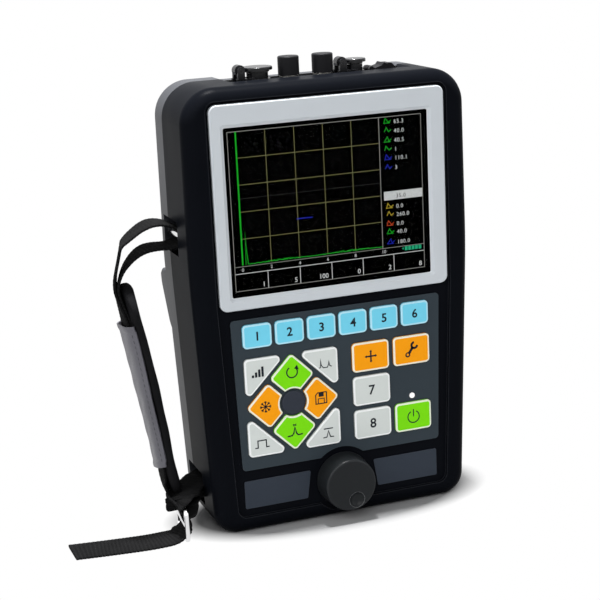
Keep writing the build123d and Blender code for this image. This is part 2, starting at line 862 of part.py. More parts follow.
def lid_hinge_pins():
    reach = knuckle_width / 2 + moving_gap + ear_width
    pins = [rod(hinge_x(x, radius), hinge_z(), hinge_pin_radius, socket_y - reach, socket_y + reach)
            for x, radius in ((large_socket_x, large_lid_radius), (small_socket_x, small_lid_radius))]
    return Compound(children=pins)


def port_pivot():
    return (port_x - port_length / 2 - 0.4, top_floor + port_barrel_radius + moving_gap)


def port_socket():
    """Rectangular data port through the top, with a pair of hinge ears and their feet at its left end."""
    left = port_x - port_length / 2 + port_inset
    right = port_x + port_length / 2 - port_inset
    near = socket_y - port_width / 2 + port_inset
    far = socket_y + port_width / 2 - port_inset
    body = block(left, right, near, far, top_floor - wall - port_body_length, top_floor)
    body -= block(left + port_rim, right - port_rim, near + port_rim, far - port_rim,
                  top_floor - port_depth, top_floor + 1)
    pivot_x, pivot_z = port_pivot()
    foot_left = pivot_x - port_ear_radius
    foot_right = left + 0.5
    foot_top = top_floor + port_foot_height
    outer_near = socket_y - port_ear_reach
    outer_far = socket_y + port_ear_reach
    ears = block(foot_left, pivot_x + port_ear_radius, outer_near, outer_far, top_floor, pivot_z)
    ears += slab(Pos(pivot_x, pivot_z) * Circle(port_ear_radius), outer_near, outer_far)
    between = port_barrel_half + moving_gap
    ears -= block(pivot_x - 3, pivot_x + 3, socket_y - between, socket_y + between, top_floor, pivot_z + 3)
    pin = rod(pivot_x, pivot_z, port_pin_radius, socket_y - port_pin_half, socket_y + port_pin_half)
    feet = block(foot_left, foot_right, outer_far - port_ear_width, outer_far, top_floor, foot_top)
    feet += block(foot_left, foot_right, outer_near, outer_near + port_ear_width, top_floor, foot_top)
    feet += block(left, foot_right, outer_near, outer_far, top_floor, foot_top)
    return body + ears + pin + feet


def port_cover():
    """Rubber cover with a ridged roof, a barrel round the hinge pin and a pull tab at the right."""
    low = top_floor + port_foot_height + moving_gap
    left = port_x - port_length / 2 + 1.6
    right = port_x + port_length / 2
    crest = low + port_ridge
    roof = Polygon(
        (left, low), (right, low), (right, low + 0.9), (right - 2.2, crest - 0.5),
        (port_x + 1.2, crest - 0.5), (port_x, crest), (port_x - 1.2, low + 2.2), (left, low + 1.1),
        align=None,
    )
    cover = slab(roof, socket_y - port_width / 2, socket_y + port_width / 2)
    pivot_x, pivot_z = port_pivot()
    near = socket_y - port_barrel_half
    far = socket_y + port_barrel_half
    cover += slab(Pos(pivot_x, pivot_z) * Circle(port_barrel_radius), near, far)
    cover += block(pivot_x, left + 0.5, near, far, low, low + port_flap)
    cover += block(right - 0.5, right + port_tab, socket_y - port_tab_half, socket_y + port_tab_half,
                   low, low + port_flap)
    half = port_pin_half
    return cover - rod(pivot_x, pivot_z, port_pin_radius + shaft_gap, socket_y - half, socket_y + half)


# Strap

def strap_pin(centre_z, grow=0.0):
    """Steel pin across one recess, seated in the walls on both sides of it."""
    reach = recess_width / 2 + pin_seat - pin_end_gap
    x = strap_pin_place(centre_z)
    return rod(x, centre_z, strap_pin_radius + grow, strap_y - reach, strap_y + reach)


def ribbon(points, radius, y_centre, thickness=webbing_thickness):
    """Flat webbing: a route of runs and arcs in the XZ plane, given the webbing's thickness and width."""
    route = FilletPolyline(*points, radius=radius)
    band = trace(route, line_width=thickness)
    return slab(band, y_centre - webbing_width / 2, y_centre + webbing_width / 2)


def grip_x(z):
    """X of the webbing's middle plane inside the grip, at height z."""
    share = (z - sleeve_bottom) / (sleeve_top - sleeve_bottom)
    return grip_low_x + (grip_high_x - grip_low_x) * share


def pin_loop(centre_z, reach):
    """Webbing round a strap pin, its two ends reach out to the left of the pin."""
    x = strap_pin_place(centre_z)
    over = strap_pin_radius + webbing_thickness / 2 + moving_gap
    return ribbon([(x - reach, centre_z + over), (x + over, centre_z + over),
                   (x + over, centre_z - over), (x - reach, centre_z - over)], over - 0.2, strap_y)


def shifted(points, x, z):
    """The points (x, z) moved to a place."""
    return [(x + dx, z + dz) for dx, dz in points]


def upper_strands():
    """The two strands between the upper pin and the head of the grip."""
    x = strap_pin_place(upper_recess_z)
    over = strap_pin_radius + webbing_thickness / 2 + moving_gap
    high = upper_recess_z + over
    low = upper_recess_z - over
    outer = [(x - strand_leave, high)] + shifted(outer_strand, x, high)
    outer += shifted(outer_join, grip_high_x, sleeve_top)
    inner = [(x - strand_leave, low)] + shifted(inner_strand, x, low)
    inner += shifted(inner_join, grip_high_x, sleeve_top)
    return ribbon(outer, strand_bend_radius, strap_y) + ribbon(inner, strand_bend_radius, strap_y)


def strap_webbing():
    """The whole strap: loop round the upper pin, two strands, down the grip, to the buckle and its tail."""
    route = shifted(grip_join, grip_high_x, sleeve_top)
    route += [(grip_x(z), z) for z in (sleeve_top + grip_entry, sleeve_bottom)]
    middle = ribbon(route, grip_bend_radius, strap_y, webbing_thickness * doubled)
    return pin_loop(upper_recess_z, strand_leave + 1) + upper_strands() + middle + lower_webbing()


def cross_section(x, y, z, lean, plies=doubled, turn=0.0):
    """The webbing cut across where it slants: lean tips its run from straight down to the left, turn turns
    it in plan."""
    run = Vector(0, 0, -1).rotate(Axis.Y, lean).rotate(Axis.Z, -turn)
    across = Vector(0, 1, 0).rotate(Axis.Z, -turn)
    place = Plane(origin=(x, y, z), x_dir=across, z_dir=run)
    return place * Rectangle(webbing_width, webbing_thickness * plies)


def lower_webbing():
    """From the grip down to the buckle, round its middle bar, then out along the floor to the strap's end."""
    x, y = buckle_centre
    start = grip_x(sleeve_bottom)
    beside = 2 * buckle_wire + moving_gap + webbing_thickness / 2
    upper_gap = buckle_height * 0.72
    lower_gap = buckle_height * 0.28
    floor_mid = webbing_thickness / 2
    bend = loft([
        cross_section(start, strap_y, sleeve_bottom + 0.5, 9),
        cross_section(start - 1.8, strap_y - 6, 25.0, 0, doubled, tail_turn / 2),
        cross_section(x - beside, y, buckle_height + 1.5, -4, 1, tail_turn),
    ])
    left = x - beside
    right = x + beside - 1
    run = ribbon([
        (left, buckle_height + 1.6), (left, upper_gap + 0.7), (right, upper_gap - 0.5),
        (right, lower_gap + 0.2), (left - 1, lower_gap - 0.3),
        (x - tail_lands, floor_mid), (x - tail_length, floor_mid),
    ], buckle_bend_radius, 0)
    end = Pos(x - tail_length, webbing_width / 2, 0) * Rot(0, 0, tail_cut)
    beyond = Box(webbing_width, 4 * webbing_width, 4 * webbing_thickness,
                 align=(Align.MAX, Align.CENTER, Align.CENTER))
    run -= end * beyond
    return bend + Pos(x, y, 0) * Rot(0, 0, -tail_turn) * Pos(-x, 0, 0) * run


def anchor_webbing():
    """The short doubled loop that holds the buckle to the lower pin."""
    pin_x = strap_pin_place(lower_recess_z)
    x, y = buckle_centre
    link = loft([
        cross_section(pin_x - 4.0, strap_y, lower_recess_z, 90, 2 * doubled),
        cross_section(pin_x - 8.0, strap_y - 8, lower_recess_z - 1.0, 84, doubled, tail_turn / 2),
        cross_section(x + buckle_wire + moving_gap, y, buckle_height - buckle_wire, 90, doubled, tail_turn),
    ])
    return pin_loop(lower_recess_z, 4.5) + link


def grip_pad():
    """Soft pad on the hand side of the webbing, its head leaning out, round at both ends."""
    inner = webbing_thickness * doubled / 2 + moving_gap + pad_thickness / 2
    high = sleeve_top + pad_above
    low = sleeve_bottom - pad_below
    bend = sleeve_top - pad_bend_below
    head = (grip_x(high) + inner + pad_head_lean, high)
    foot = (grip_x(low) + inner, low)
    route = FilletPolyline(head, (grip_x(bend) + inner, bend), foot, radius=pad_bend_radius)
    pad = slab(trace(route, line_width=pad_thickness), strap_y - pad_width / 2, strap_y + pad_width / 2)
    ends = pad.faces().sort_by(Axis.Z)
    corners = [edge for face in (ends[0], ends[-1]) for edge in face.edges()
               if abs(edge.center().Y - strap_y) > pad_width / 2 - 0.1]
    return fillet(corners, pad_end_radius)


def grip_sleeve():
    """Vinyl sleeve sewn to the pad over the webbing, on the outer side."""
    outer = webbing_thickness * doubled / 2 + moving_gap + sleeve_thickness / 2
    route = Polyline(*[(grip_x(z) - outer, z) for z in (sleeve_top, sleeve_bottom)])
    band = trace(route, line_width=sleeve_thickness)
    return slab(band, strap_y - pad_width / 2 + 1, strap_y + pad_width / 2 - 1)


def buckle():
    """Buckle of round bar: a frame with a middle bar, standing on the floor on its lower bar."""
    x, y = buckle_centre
    bar = 2 * buckle_wire
    outer = RectangleRounded(buckle_width, buckle_height, 3.5)
    inner = RectangleRounded(buckle_width - 2 * bar, buckle_height - 2 * bar, 1.5)
    frame = extrude(outer - inner, amount=buckle_wire, both=True)
    frame = fillet(frame.faces().filter_by(Axis.Z).edges(), buckle_wire * 0.9)
    frame += Rot(0, 90, 0) * Cylinder(buckle_wire, buckle_width - bar)
    upright_frame = Plane.YZ * frame
    return Pos(x, y, buckle_height / 2) * Rot(0, 0, -tail_turn) * upright_frame


# Rear

def stand_axis():
    """Y and Z of the stand's hinge, under the grip ridge."""
    return (y_rear + moving_gap + stand_barrel_radius, ridge_bottom - stand_barrel_radius - 2)


def stand_pin_bar(grow=0.0):
    y, z = stand_axis()
    reach = stand_width / 2 + moving_gap + stand_ear
    return Pos(0, y, z) * Rot(0, 90, 0) * Cylinder(stand_pin_radius + grow, 2 * reach)


def stand_ears():
    """Two lugs on the rear face that hold the ends of the stand's pin."""
    y, z = stand_axis()
    lugs = []
    for side in (-1, 1):
        near = side * (stand_width / 2 + moving_gap)
        far = near + side * stand_ear
        profile = rounded([
            (y_rear - 1, z - 7, 0), (y + 3, z - 3, 2), (y + 3, z + 3, 2), (y_rear - 1, z + 9, 0),
        ])
        lugs.append(extrude(Plane.YZ.offset(min(near, far)) * profile, amount=stand_ear))
    return lugs


def rear_stand():
    """Flat leg that folds against the rear face, ribbed, with a thumb notch at its free end."""
    y, z = stand_axis()
    half = stand_width / 2
    near = y_rear + moving_gap
    outline = rectangle(stand_width, stand_length, 6.0, (0, z - stand_length / 2))
    leaf = slab(outline, near, near + stand_thickness)
    leaf -= slab(Pos(0, z - stand_length) * Circle(9.0), near - 1, near + stand_thickness + 1)
    step = stand_length / (stand_rib_count + 1)
    for i in range(1, stand_rib_count + 1):
        groove = rectangle(stand_width - 24, 2.0, 0.9, (0, z - step * i))
        leaf -= slab(groove, near + stand_thickness - 0.8, near + stand_thickness + 1)
    leaf += Pos(0, y, z) * Rot(0, 90, 0) * Cylinder(stand_barrel_radius, stand_width)
    return leaf - Pos(0, y, z) * Rot(0, 90, 0) * Cylinder(stand_pin_radius + shaft_gap, stand_width + 2)


def cover_outline(gap):
    return rectangle(cover_width - 2 * gap, cover_height - 2 * gap, 4.0, (0, cover_centre_z))


def cover_ledge():
    """Material kept inside the rear shell as the battery cover's seat."""
    return slab(rectangle(cover_width + 2 * wall, cover_height + 2 * wall, 5.0, (0, cover_centre_z)),
                y_rear_inside - wall, y_rear)


def cover_screw_places():
    return [(side * (cover_width / 2 - 4), cover_centre_z) for side in (-1, 1)]


def battery_cover():
    plate = slab(cover_outline(seat_gap), y_rear - wall, y_rear)
    lowest = cover_centre_z - cover_height / 2 + 8
    step = (cover_height - 16) / (cover_rib_count - 1)
    for i in range(cover_rib_count):
        groove = rectangle(cover_width - 30, 1.6, 0.7, (0, lowest + i * step))
        plate -= slab(groove, y_rear - 0.7, y_rear + 1)
    for x, z in cover_screw_places():
        plate -= rod(x, z, screw_radius + seat_gap, y_rear - wall - 1, y_rear + 1)
        plate -= rod(x, z, screw_head_radius + seat_gap, y_rear - cover_head_depth, y_rear + 1)
    return plate


def cover_screw(x, z):
    seat = y_rear - cover_head_depth
    head = rod(x, z, screw_head_radius, seat, y_rear - 0.2)
    head -= block(x - 3, x + 3, y_rear - 0.8, y_rear, z - 0.4, z + 0.4)
    return head + rod(x, z, screw_radius, y_rear - cover_screw_depth, seat)


def cover_screws():
    return Compound(children=[cover_screw(x, z) for x, z in cover_screw_places()])


def battery_pack():
    y_back = y_rear - wall - moving_gap
    outline = rectangle(battery_width, battery_height, 3.0, (0, cover_centre_z))
    return slab(outline, y_back - battery_depth, y_back)


# Boards

def standoff_places():
    x = main_board_width / 2 - standoff_radius / 2
    return [(side * x, z) for z in standoff_heights for side in (-1, 1)]


def main_board():
    """Circuit board on the standoffs, with two shield cans."""
    outline = rectangle(main_board_width, main_board_top - main_board_bottom, 2.0,
                        (0, (main_board_top + main_board_bottom) / 2))
    board = slab(outline, y_main_board, y_main_board + board_thickness)
    far = y_main_board + board_thickness
    for x_low, x_high, z_low, z_high in shield_cans:
        board += block(x_low, x_high, far, far + can_height, z_low, z_high)
    return board


def beeper():
    y_face = y_main_board - beeper_height
    body = rod(*beeper_place, beeper_radius, y_face, y_main_board)
    return body - rod(*beeper_place, 1.0, y_face - 1, y_face + 1.5)


def all_nodes():
    nodes = {
        "front_shell": front_shell(),
        "rear_shell": rear_shell(),
        "case_seal": seal(),
        "case_screws": case_screws(),
        "screen_bezel": screen_bezel(),
        "display_window": display_window(),
        "lcd_module": lcd_module(),
        "keypad_overlay": keypad_overlay(),
        "nav_hub": nav_hub(),
        "status_light": status_light(),
        "keypad_mat": keypad_mat(),
        "keypad_board": keypad_board(),
        "left_plate": corner_plate(-1),
        "right_plate": corner_plate(1),
        "knob": knob(),
        "encoder_shaft": encoder_shaft(),
        "encoder": encoder(),
        "left_probe_socket": probe_socket(probe_xs()[0]),
        "right_probe_socket": probe_socket(probe_xs()[1]),
        "left_dust_cap": dust_cap(probe_xs()[0]),
        "right_dust_cap": dust_cap(probe_xs()[1]),
        "large_socket": collar_socket(large_socket_x, large_collar_radius, large_lid_radius),
        "small_socket": collar_socket(small_socket_x, small_collar_radius, small_lid_radius),
        "large_lid": hinged_lid(large_socket_x, large_collar_radius, large_lid_radius),
        "small_lid": hinged_lid(small_socket_x, small_collar_radius, small_lid_radius),
        "lid_hinge_pins": lid_hinge_pins(),
        "port_socket": port_socket(),
        "port_cover": port_cover(),
        "strap_pins": Compound(children=[strap_pin(upper_recess_z), strap_pin(lower_recess_z)]),
        "strap_webbing": strap_webbing(),
        "anchor_webbing": anchor_webbing(),
        "grip_pad": grip_pad(),
        "grip_sleeve": grip_sleeve(),
        "buckle": buckle(),
        "rear_stand": rear_stand(),
        "stand_pin": stand_pin_bar(),
        "battery_cover": battery_cover(),
        "cover_screws": cover_screws(),
        "battery_pack": battery_pack(),
        "main_board": main_board(),
        "beeper": beeper(),
    }
    for name, key in zip(key_names, keys):
        nodes[name] = key_cap(key)
    return nodes


os.makedirs("parts", exist_ok=True)
for node_name, shape in all_nodes().items():
    export_step(shape, "parts/%s.step" % node_name)
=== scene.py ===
"""Finish of a hand-held ultrasonic flaw detector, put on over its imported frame.

Metres. The origin is the centre of the flat bottom, +X is right seen from the front, the screen faces -Y
and +Z is up. One section follows the other as the device is put together.
"""
import math

import bpy
import numpy as np
from mathutils import Matrix, Vector


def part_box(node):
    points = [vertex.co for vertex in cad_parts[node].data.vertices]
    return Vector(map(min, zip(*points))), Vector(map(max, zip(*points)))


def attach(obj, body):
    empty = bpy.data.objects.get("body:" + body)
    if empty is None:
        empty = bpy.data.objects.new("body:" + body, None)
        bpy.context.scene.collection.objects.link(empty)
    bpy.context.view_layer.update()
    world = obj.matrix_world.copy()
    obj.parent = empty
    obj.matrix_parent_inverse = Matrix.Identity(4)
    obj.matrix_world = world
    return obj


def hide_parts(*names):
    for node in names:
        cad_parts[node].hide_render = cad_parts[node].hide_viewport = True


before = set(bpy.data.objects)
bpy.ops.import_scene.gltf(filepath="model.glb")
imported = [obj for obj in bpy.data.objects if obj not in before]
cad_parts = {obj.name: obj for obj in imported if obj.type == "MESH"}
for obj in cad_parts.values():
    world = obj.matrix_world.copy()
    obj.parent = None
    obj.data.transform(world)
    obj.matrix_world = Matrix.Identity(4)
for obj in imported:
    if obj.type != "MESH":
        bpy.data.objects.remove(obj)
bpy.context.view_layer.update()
mm = 0.001


# Camera
# A long lens a little to the left of the device and above its screen, tipped a few degrees on its side, so
# that the device fills most of the picture's height.
camera_aim = Vector((-0.0110, 0.0, 0.1141))
camera_distance = 0.799
camera_azimuth = math.radians(-19.6)
camera_elevation = math.radians(14.5)
camera_tip = math.radians(-2.82)
camera_lens = 90.9
film_width = 36.0


def away(azimuth, elevation):
    """The unit vector away from the device: azimuth from the front towards +X, elevation above the floor."""
    level = math.cos(elevation)
    return Vector((math.sin(azimuth) * level, -math.cos(azimuth) * level, math.sin(elevation)))


camera = bpy.data.objects.new("camera", bpy.data.cameras.new("camera"))
bpy.context.scene.collection.objects.link(camera)
bpy.context.scene.camera = camera
camera.data.lens = camera_lens
camera.data.sensor_width = film_width
camera.location = camera_aim + away(camera_azimuth, camera_elevation) * camera_distance
camera.rotation_mode = "QUATERNION"
towards = away(camera_azimuth, camera_elevation).to_track_quat("Z", "Y")
camera.rotation_quaternion = towards @ Matrix.Rotation(camera_tip, 4, "Z").to_quaternion()
bpy.context.scene.view_settings.view_transform = "Standard"


# Floor and light
# A wide sheet of paper under a small strong lamp that hangs a little behind the device, so that the case
# throws a short shadow forwards, with soft boxes in front, on the left and on the right.
floor_reach = 12.0
paper_white = (0.31, 0.31, 0.313, 1.0)
paper_fibre = 400.0
shadow_reach = (0.078, 0.040, 1.0)
shadow_fade = (0.95, 1.20)
room_tint = (0.93, 0.96, 1.0, 1.0)
room_strength = 0.27
full_white = (1.0, 1.0, 1.0, 1.0)


def add_node(tree, kind, inputs=None, **settings):
    """A new node with its settings; an input given as a socket is linked, any other is a plain value."""
    node = tree.nodes.new(kind)
    for name, value in settings.items():
        setattr(node, name, value)
    for name, value in (inputs or {}).items():
        if isinstance(value, bpy.types.NodeSocket):
            tree.links.new(value, node.inputs[name])
        else:
            node.inputs[name].default_value = value
    return node


def maths(tree, operation, a, b=0.0):
    """The result of one Math node."""
    return add_node(tree, "ShaderNodeMath", {0: a, 1: b}, operation=operation).outputs[0]


def times(tree, a, b):
    return maths(tree, "MULTIPLY", a, b)


def scaled(tree, value, low, high, span=(0.0, 1.0)):
    """A value that runs over the span turned into one that runs from low to high."""
    inputs = {"Value": value, "From Min": span[0], "From Max": span[1], "To Min": low, "To Max": high}
    return add_node(tree, "ShaderNodeMapRange", inputs).outputs["Result"]


def object_place(tree):
    """The place on the object, in metres."""
    return add_node(tree, "ShaderNodeTexCoord").outputs["Object"]


def noise(tree, place, scale, detail=2.0, **inputs):
    """Noise from 0 to 1, with about scale grains to a metre."""
    inputs = {"Vector": place, "Scale": scale, "Detail": detail, **inputs}
    return add_node(tree, "ShaderNodeTexNoise", inputs).outputs["Fac"]


def bumped(tree, height, strength, distance):
    """The normal of a surface with this height on it."""
    inputs = {"Height": height, "Strength": strength, "Distance": distance}
    return add_node(tree, "ShaderNodeBump", inputs).outputs["Normal"]


def seen_rays(tree):
    """1 on rays from the camera, off gloss and through glass, and 0 on the rays that light the object."""
    path = add_node(tree, "ShaderNodeLightPath").outputs
    direct = maths(tree, "MAXIMUM", path["Is Camera Ray"], path["Is Glossy Ray"])
    return maths(tree, "MAXIMUM", direct, path["Is Transmission Ray"])


def paper_material():
    """White paper that keeps the object's shadow and shows plain white further out."""
    material = bpy.data.materials.new("paper")
    material.use_nodes = True
    tree = material.node_tree
    tree.nodes.clear()
    place = object_place(tree)
    fibre = bumped(tree, noise(tree, place, paper_fibre), 0.3, 0.1 * mm)
    paper = add_node(tree, "ShaderNodeBsdfDiffuse", {"Color": paper_white, "Normal": fibre})
    glow = add_node(tree, "ShaderNodeEmission", {"Color": full_white, "Strength": 1.0})
    shrunk = add_node(tree, "ShaderNodeVectorMath", {0: place, 1: shadow_reach}, operation="DIVIDE")
    distance = add_node(tree, "ShaderNodeVectorMath", {0: shrunk.outputs[0]}, operation="LENGTH")
    whiter = scaled(tree, distance.outputs["Value"], 0.0, 1.0, shadow_fade)
    share = times(tree, seen_rays(tree), whiter)
    mixed = add_node(tree, "ShaderNodeMixShader", {0: share, 1: paper.outputs[0], 2: glow.outputs[0]})
    output = add_node(tree, "ShaderNodeOutputMaterial")
    tree.links.new(mixed.outputs[0], output.inputs["Surface"])
    return material


def grid_mesh(name, points, closed_u=False, closed_v=False, ends=False):
    """A mesh of quads through a grid of points, rows along u and columns along v.

    A closed way wraps round, and ends puts a face over the first and the last row."""
    rows, columns = points.shape[:2]
    i = np.arange(rows if closed_u else rows - 1)[:, None]
    j = np.arange(columns if closed_v else columns - 1)[None, :]
    near, far = i * columns, (i + 1) % rows * columns
    right = (j + 1) % columns
    faces = np.stack([near + j, far + j, far + right, near + right], axis=-1).reshape(-1, 4).tolist()
    if ends:
        last = rows * columns - 1
        faces += [list(range(columns)), list(range(last, last - columns, -1))]
    mesh = bpy.data.meshes.new(name)
    mesh.from_pydata(points.reshape(-1, 3).tolist(), [], faces)
    return mesh


def show(name, mesh, material):
    """Puts a mesh in the scene at the origin with its material."""
    piece = bpy.data.objects.new(name, mesh)
    bpy.context.scene.collection.objects.link(piece)
    mesh.materials.append(material)
    return piece


def paper_sheet():
    """The level sheet: u and v run over a square, packed closer together near the device."""
    row = np.linspace(-1, 1, 21)
    u, v = np.meshgrid(row, row, indexing="ij")
    return grid_mesh("paper", np.stack([u ** 3, v ** 3, np.zeros_like(u)], axis=-1) * floor_reach)


paper = show("paper", paper_sheet(), paper_material())

world = bpy.data.worlds.new("studio")
bpy.context.scene.world = world
world.use_nodes = True
sky = world.node_tree
sky.nodes.clear()
room = add_node(sky, "ShaderNodeBackground", {"Color": room_tint, "Strength": room_strength})
white = add_node(sky, "ShaderNodeBackground", {"Color": full_white, "Strength": 1.0})
chosen = add_node(sky, "ShaderNodeMixShader", {0: seen_rays(sky), 1: room.outputs[0], 2: white.outputs[0]})
sky.links.new(chosen.outputs[0], add_node(sky, "ShaderNodeOutputWorld").inputs["Surface"])


def soft_box(name, azimuth, elevation, distance, size, power):
    """A square area lamp turned towards the device."""
    lamp = bpy.data.lights.new(name, "AREA")
    lamp.shape = "SQUARE"
    lamp.size = size
    lamp.energy = power
    holder = bpy.data.objects.new(name, lamp)
    direction = away(math.radians(azimuth), math.radians(elevation))
    holder.location = camera_aim + direction * distance
    holder.rotation_mode = "QUATERNION"
    holder.rotation_quaternion = direction.to_track_quat("Z", "Y")
    bpy.context.scene.collection.objects.link(holder)


soft_box("top_lamp", azimuth=180, elevation=87.7, distance=1.4, size=0.12, power=64)
soft_box("front_box", azimuth=-17, elevation=40, distance=1.5, size=0.9, power=9)
soft_box("left_box", azimuth=-72, elevation=30, distance=1.5, size=0.9, power=8)
soft_box("right_box", azimuth=55, elevation=22, distance=1.8, size=0.8, power=3)


# Case shells
# Two shells of moulded black plastic: the front one has a soft-touch coat, the rear one is bare and a
# little greyer. Both have the fine spark-eroded grain of their mould.
soft_black = (0.0036, 0.0042, 0.0060, 1.0)
bare_black = (0.030, 0.032, 0.038, 1.0)
mould_grain = 0.55 * mm
mid_grey = (0.5, 0.5, 0.5, 1.0)


def shader_group(name, inputs):
    """A node group that turns its inputs, colours and numbers, into a colour, a roughness and a normal."""
    group = bpy.data.node_groups.new(name, "ShaderNodeTree")
    for label, value in inputs.items():
        kind = "NodeSocketColor" if isinstance(value, tuple) else "NodeSocketFloat"
        group.interface.new_socket(label, in_out="INPUT", socket_type=kind).default_value = value
    for label, kind in (("Color", "Color"), ("Roughness", "Float"), ("Normal", "Vector")):
        group.interface.new_socket(label, in_out="OUTPUT", socket_type="NodeSocket" + kind)
    return group, add_node(group, "NodeGroupInput").outputs, add_node(group, "NodeGroupOutput").inputs


def put_out(group, out, colour, roughness, normal):
    """Joins the three results to the group's outputs."""
    for label, result in (("Color", colour), ("Roughness", roughness), ("Normal", normal)):
        group.links.new(result, out[label])
    return group


def plus(tree, a, b):
    return maths(tree, "ADD", a, b)


def shade(tree, colour, amount):
    """A colour made lighter or darker by a factor."""
    return add_node(tree, "ShaderNodeVectorMath", {0: colour, "Scale": amount}, operation="SCALE").outputs[0]


def blend_colours(tree, share, a, b):
    """Colour a with a share of colour b."""
    mix = add_node(tree, "ShaderNodeMix", {"Factor": share}, data_type="RGBA")
    for label, value in (("A", a), ("B", b)):
        socket = [s for s in mix.inputs if s.name == label and s.type == "RGBA"][0]
        if isinstance(value, bpy.types.NodeSocket):
            tree.links.new(value, socket)
        else:
            socket.default_value = value
    return [s for s in mix.outputs if s.type == "RGBA"][0]


def edge_group():
    """Painted edge highlight: where a rounded normal leaves the true one, the colour turns paler and the
    gloss smoother.
    """
    group, given, out = shader_group("painted_edge_highlight", {
        "Color": mid_grey, "Roughness": 0.5, "Edge Color": mid_grey, "Edge Width": 0.6 * mm, "Amount": 0.5})
    rounded = add_node(group, "ShaderNodeBevel", {"Radius": given["Edge Width"]}, samples=4).outputs[0]
    true = add_node(group, "ShaderNodeNewGeometry").outputs["Normal"]
    agree = add_node(group, "ShaderNodeVectorMath", {0: rounded, 1: true}, operation="DOT_PRODUCT")
    edge = times(group, scaled(group, agree.outputs["Value"], 1.0, 0.0, (0.72, 1.0)), given["Amount"])
    patches = noise(group, object_place(group), 90.0, 4.0)
    share = times(group, edge, scaled(group, patches, 0.5, 1.2))
    colour = blend_colours(group, share, given["Color"], given["Edge Color"])
    smoother = plus(group, given["Roughness"], times(group, share, -0.15))
    return put_out(group, out, colour, smoother, true)


def mould_group():
    """Moulded plastic: fine grain as bump, broad faint mottle in the colour, handling marks in the gloss."""
    group, given, out = shader_group("moulded_grain", {
        "Color": mid_grey, "Roughness": 0.5, "Grain": mould_grain, "Depth": 0.4, "Mottle": 0.1})
    place = object_place(group)
    grain = noise(group, place, maths(group, "DIVIDE", 1.0, given["Grain"]), 3.0, Roughness=0.6)
    broad = noise(group, place, 38.0, 5.0)
    wiped = noise(group, place, 14.0, 6.0, Distortion=1.2)
    mottle = times(group, given["Mottle"], scaled(group, broad, -1.0, 1.0))
    speck = times(group, given["Mottle"], scaled(group, grain, -0.8, 0.8))
    colour = shade(group, given["Color"], plus(group, plus(group, mottle, speck), 1.0))
    handled = times(group, given["Mottle"], scaled(group, wiped, -0.6, 0.6))
    normal = bumped(group, grain, given["Depth"], 0.12 * mm)
    return put_out(group, out, colour, plus(group, given["Roughness"], handled), normal)


moulded_grain = mould_group()
painted_edge_highlight = edge_group()


def finish_of(name, colour, roughness, group, values, wear_and_edge_highlight=None, specular=0.5, **fixed):
    """A material: one Principled shader fed by a finish group, with a painted edge highlight where one is
    given.

    fixed sets the shader's own sockets; a name such as Coat_Weight stands for the socket Coat Weight."""
    material = bpy.data.materials.new(name)
    material.use_nodes = True
    tree = material.node_tree
    shader = tree.nodes["Principled BSDF"]
    for label, value in fixed.items():
        shader.inputs[label.replace("_", " ")].default_value = value
    shader.inputs["Specular IOR Level"].default_value = specular
    shader.inputs["Base Color"].default_value = colour
    surface = add_node(tree, "ShaderNodeGroup", node_tree=group)
    for label, value in {"Color": colour, "Roughness": roughness, **values}.items():
        surface.inputs[label].default_value = value
    tree.links.new(surface.outputs["Normal"], shader.inputs["Normal"])
    last = surface
    # Painted highlight on the edges: the colour is mixed towards a pale edge colour
    if wear_and_edge_highlight:
        last = add_node(tree, "ShaderNodeGroup", node_tree=painted_edge_highlight)
        tree.links.new(surface.outputs["Color"], last.inputs["Color"])
        tree.links.new(surface.outputs["Roughness"], last.inputs["Roughness"])
        for label, value in zip(("Edge Color", "Edge Width", "Amount"), wear_and_edge_highlight):
            last.inputs[label].default_value = value
    tree.links.new(last.outputs["Color"], shader.inputs["Base Color"])
    tree.links.new(last.outputs["Roughness"], shader.inputs["Roughness"])
    return material


def moulded(name, colour, roughness, depth=0.4, mottle=0.1, grain=mould_grain, wear_and_edge_highlight=None, **fixed):
    """Moulded plastic or rubber of one colour."""
    values = {"Grain": grain, "Depth": depth, "Mottle": mottle}
    return finish_of(name, colour, roughness, moulded_grain, values, wear_and_edge_highlight, **fixed)


def dress(material, *names):
    """Gives CAD nodes a material in place of the plain one that they came with."""
    for name in names:
        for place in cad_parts[name].material_slots:
            place.material = material


# Both shells carry a painted highlight along their rounded edges; edge_pale is its colour on the front shell
edge_pale = (0.09, 0.095, 0.11, 1.0)
soft_touch = moulded("soft_touch_black", soft_black, 0.36, depth=0.30, mottle=0.12,
                     wear_and_edge_highlight=(edge_pale, 0.8 * mm, 0.35), specular=0.01)
bare_plastic = moulded("bare_black", bare_black, 0.46, depth=0.5, mottle=0.15,
                       wear_and_edge_highlight=((0.16, 0.165, 0.18, 1.0), 0.7 * mm, 0.5), specular=0.3)
dress(soft_touch, "front_shell")
dress(bare_plastic, "rear_shell")


# Seal and case screws
# A black silicone cord lies in a groove between the shells. Six steel screws hold the shells together from
# behind, and other small turned parts share their steel.
def metal_group():
    """Plated or turned metal: fine lines one way, with small clouds in the colour and the gloss."""
    group, given, out = shader_group("worked_metal", {"Color": mid_grey, "Roughness": 0.2, "Lines": 0.3})
    place = object_place(group)
    stretched = add_node(group, "ShaderNodeMapping", {"Vector": place, "Scale": (300, 300, 6000)})
    lines = noise(group, stretched.outputs[0], 1.0)
    clouds = noise(group, place, 160.0, 5.0)
    colour = shade(group, given["Color"], scaled(group, clouds, 0.78, 1.12))
    gloss = plus(group, given["Roughness"], scaled(group, clouds, -0.08, 0.14))
    return put_out(group, out, colour, gloss, bumped(group, lines, given["Lines"], 0.03 * mm))


worked_metal = metal_group()


def metal(name, colour, roughness, lines=0.3, wear_and_edge_highlight=None, **fixed):
    return finish_of(name, colour, roughness, worked_metal, {"Lines": lines}, wear_and_edge_highlight, Metallic=1.0, **fixed)


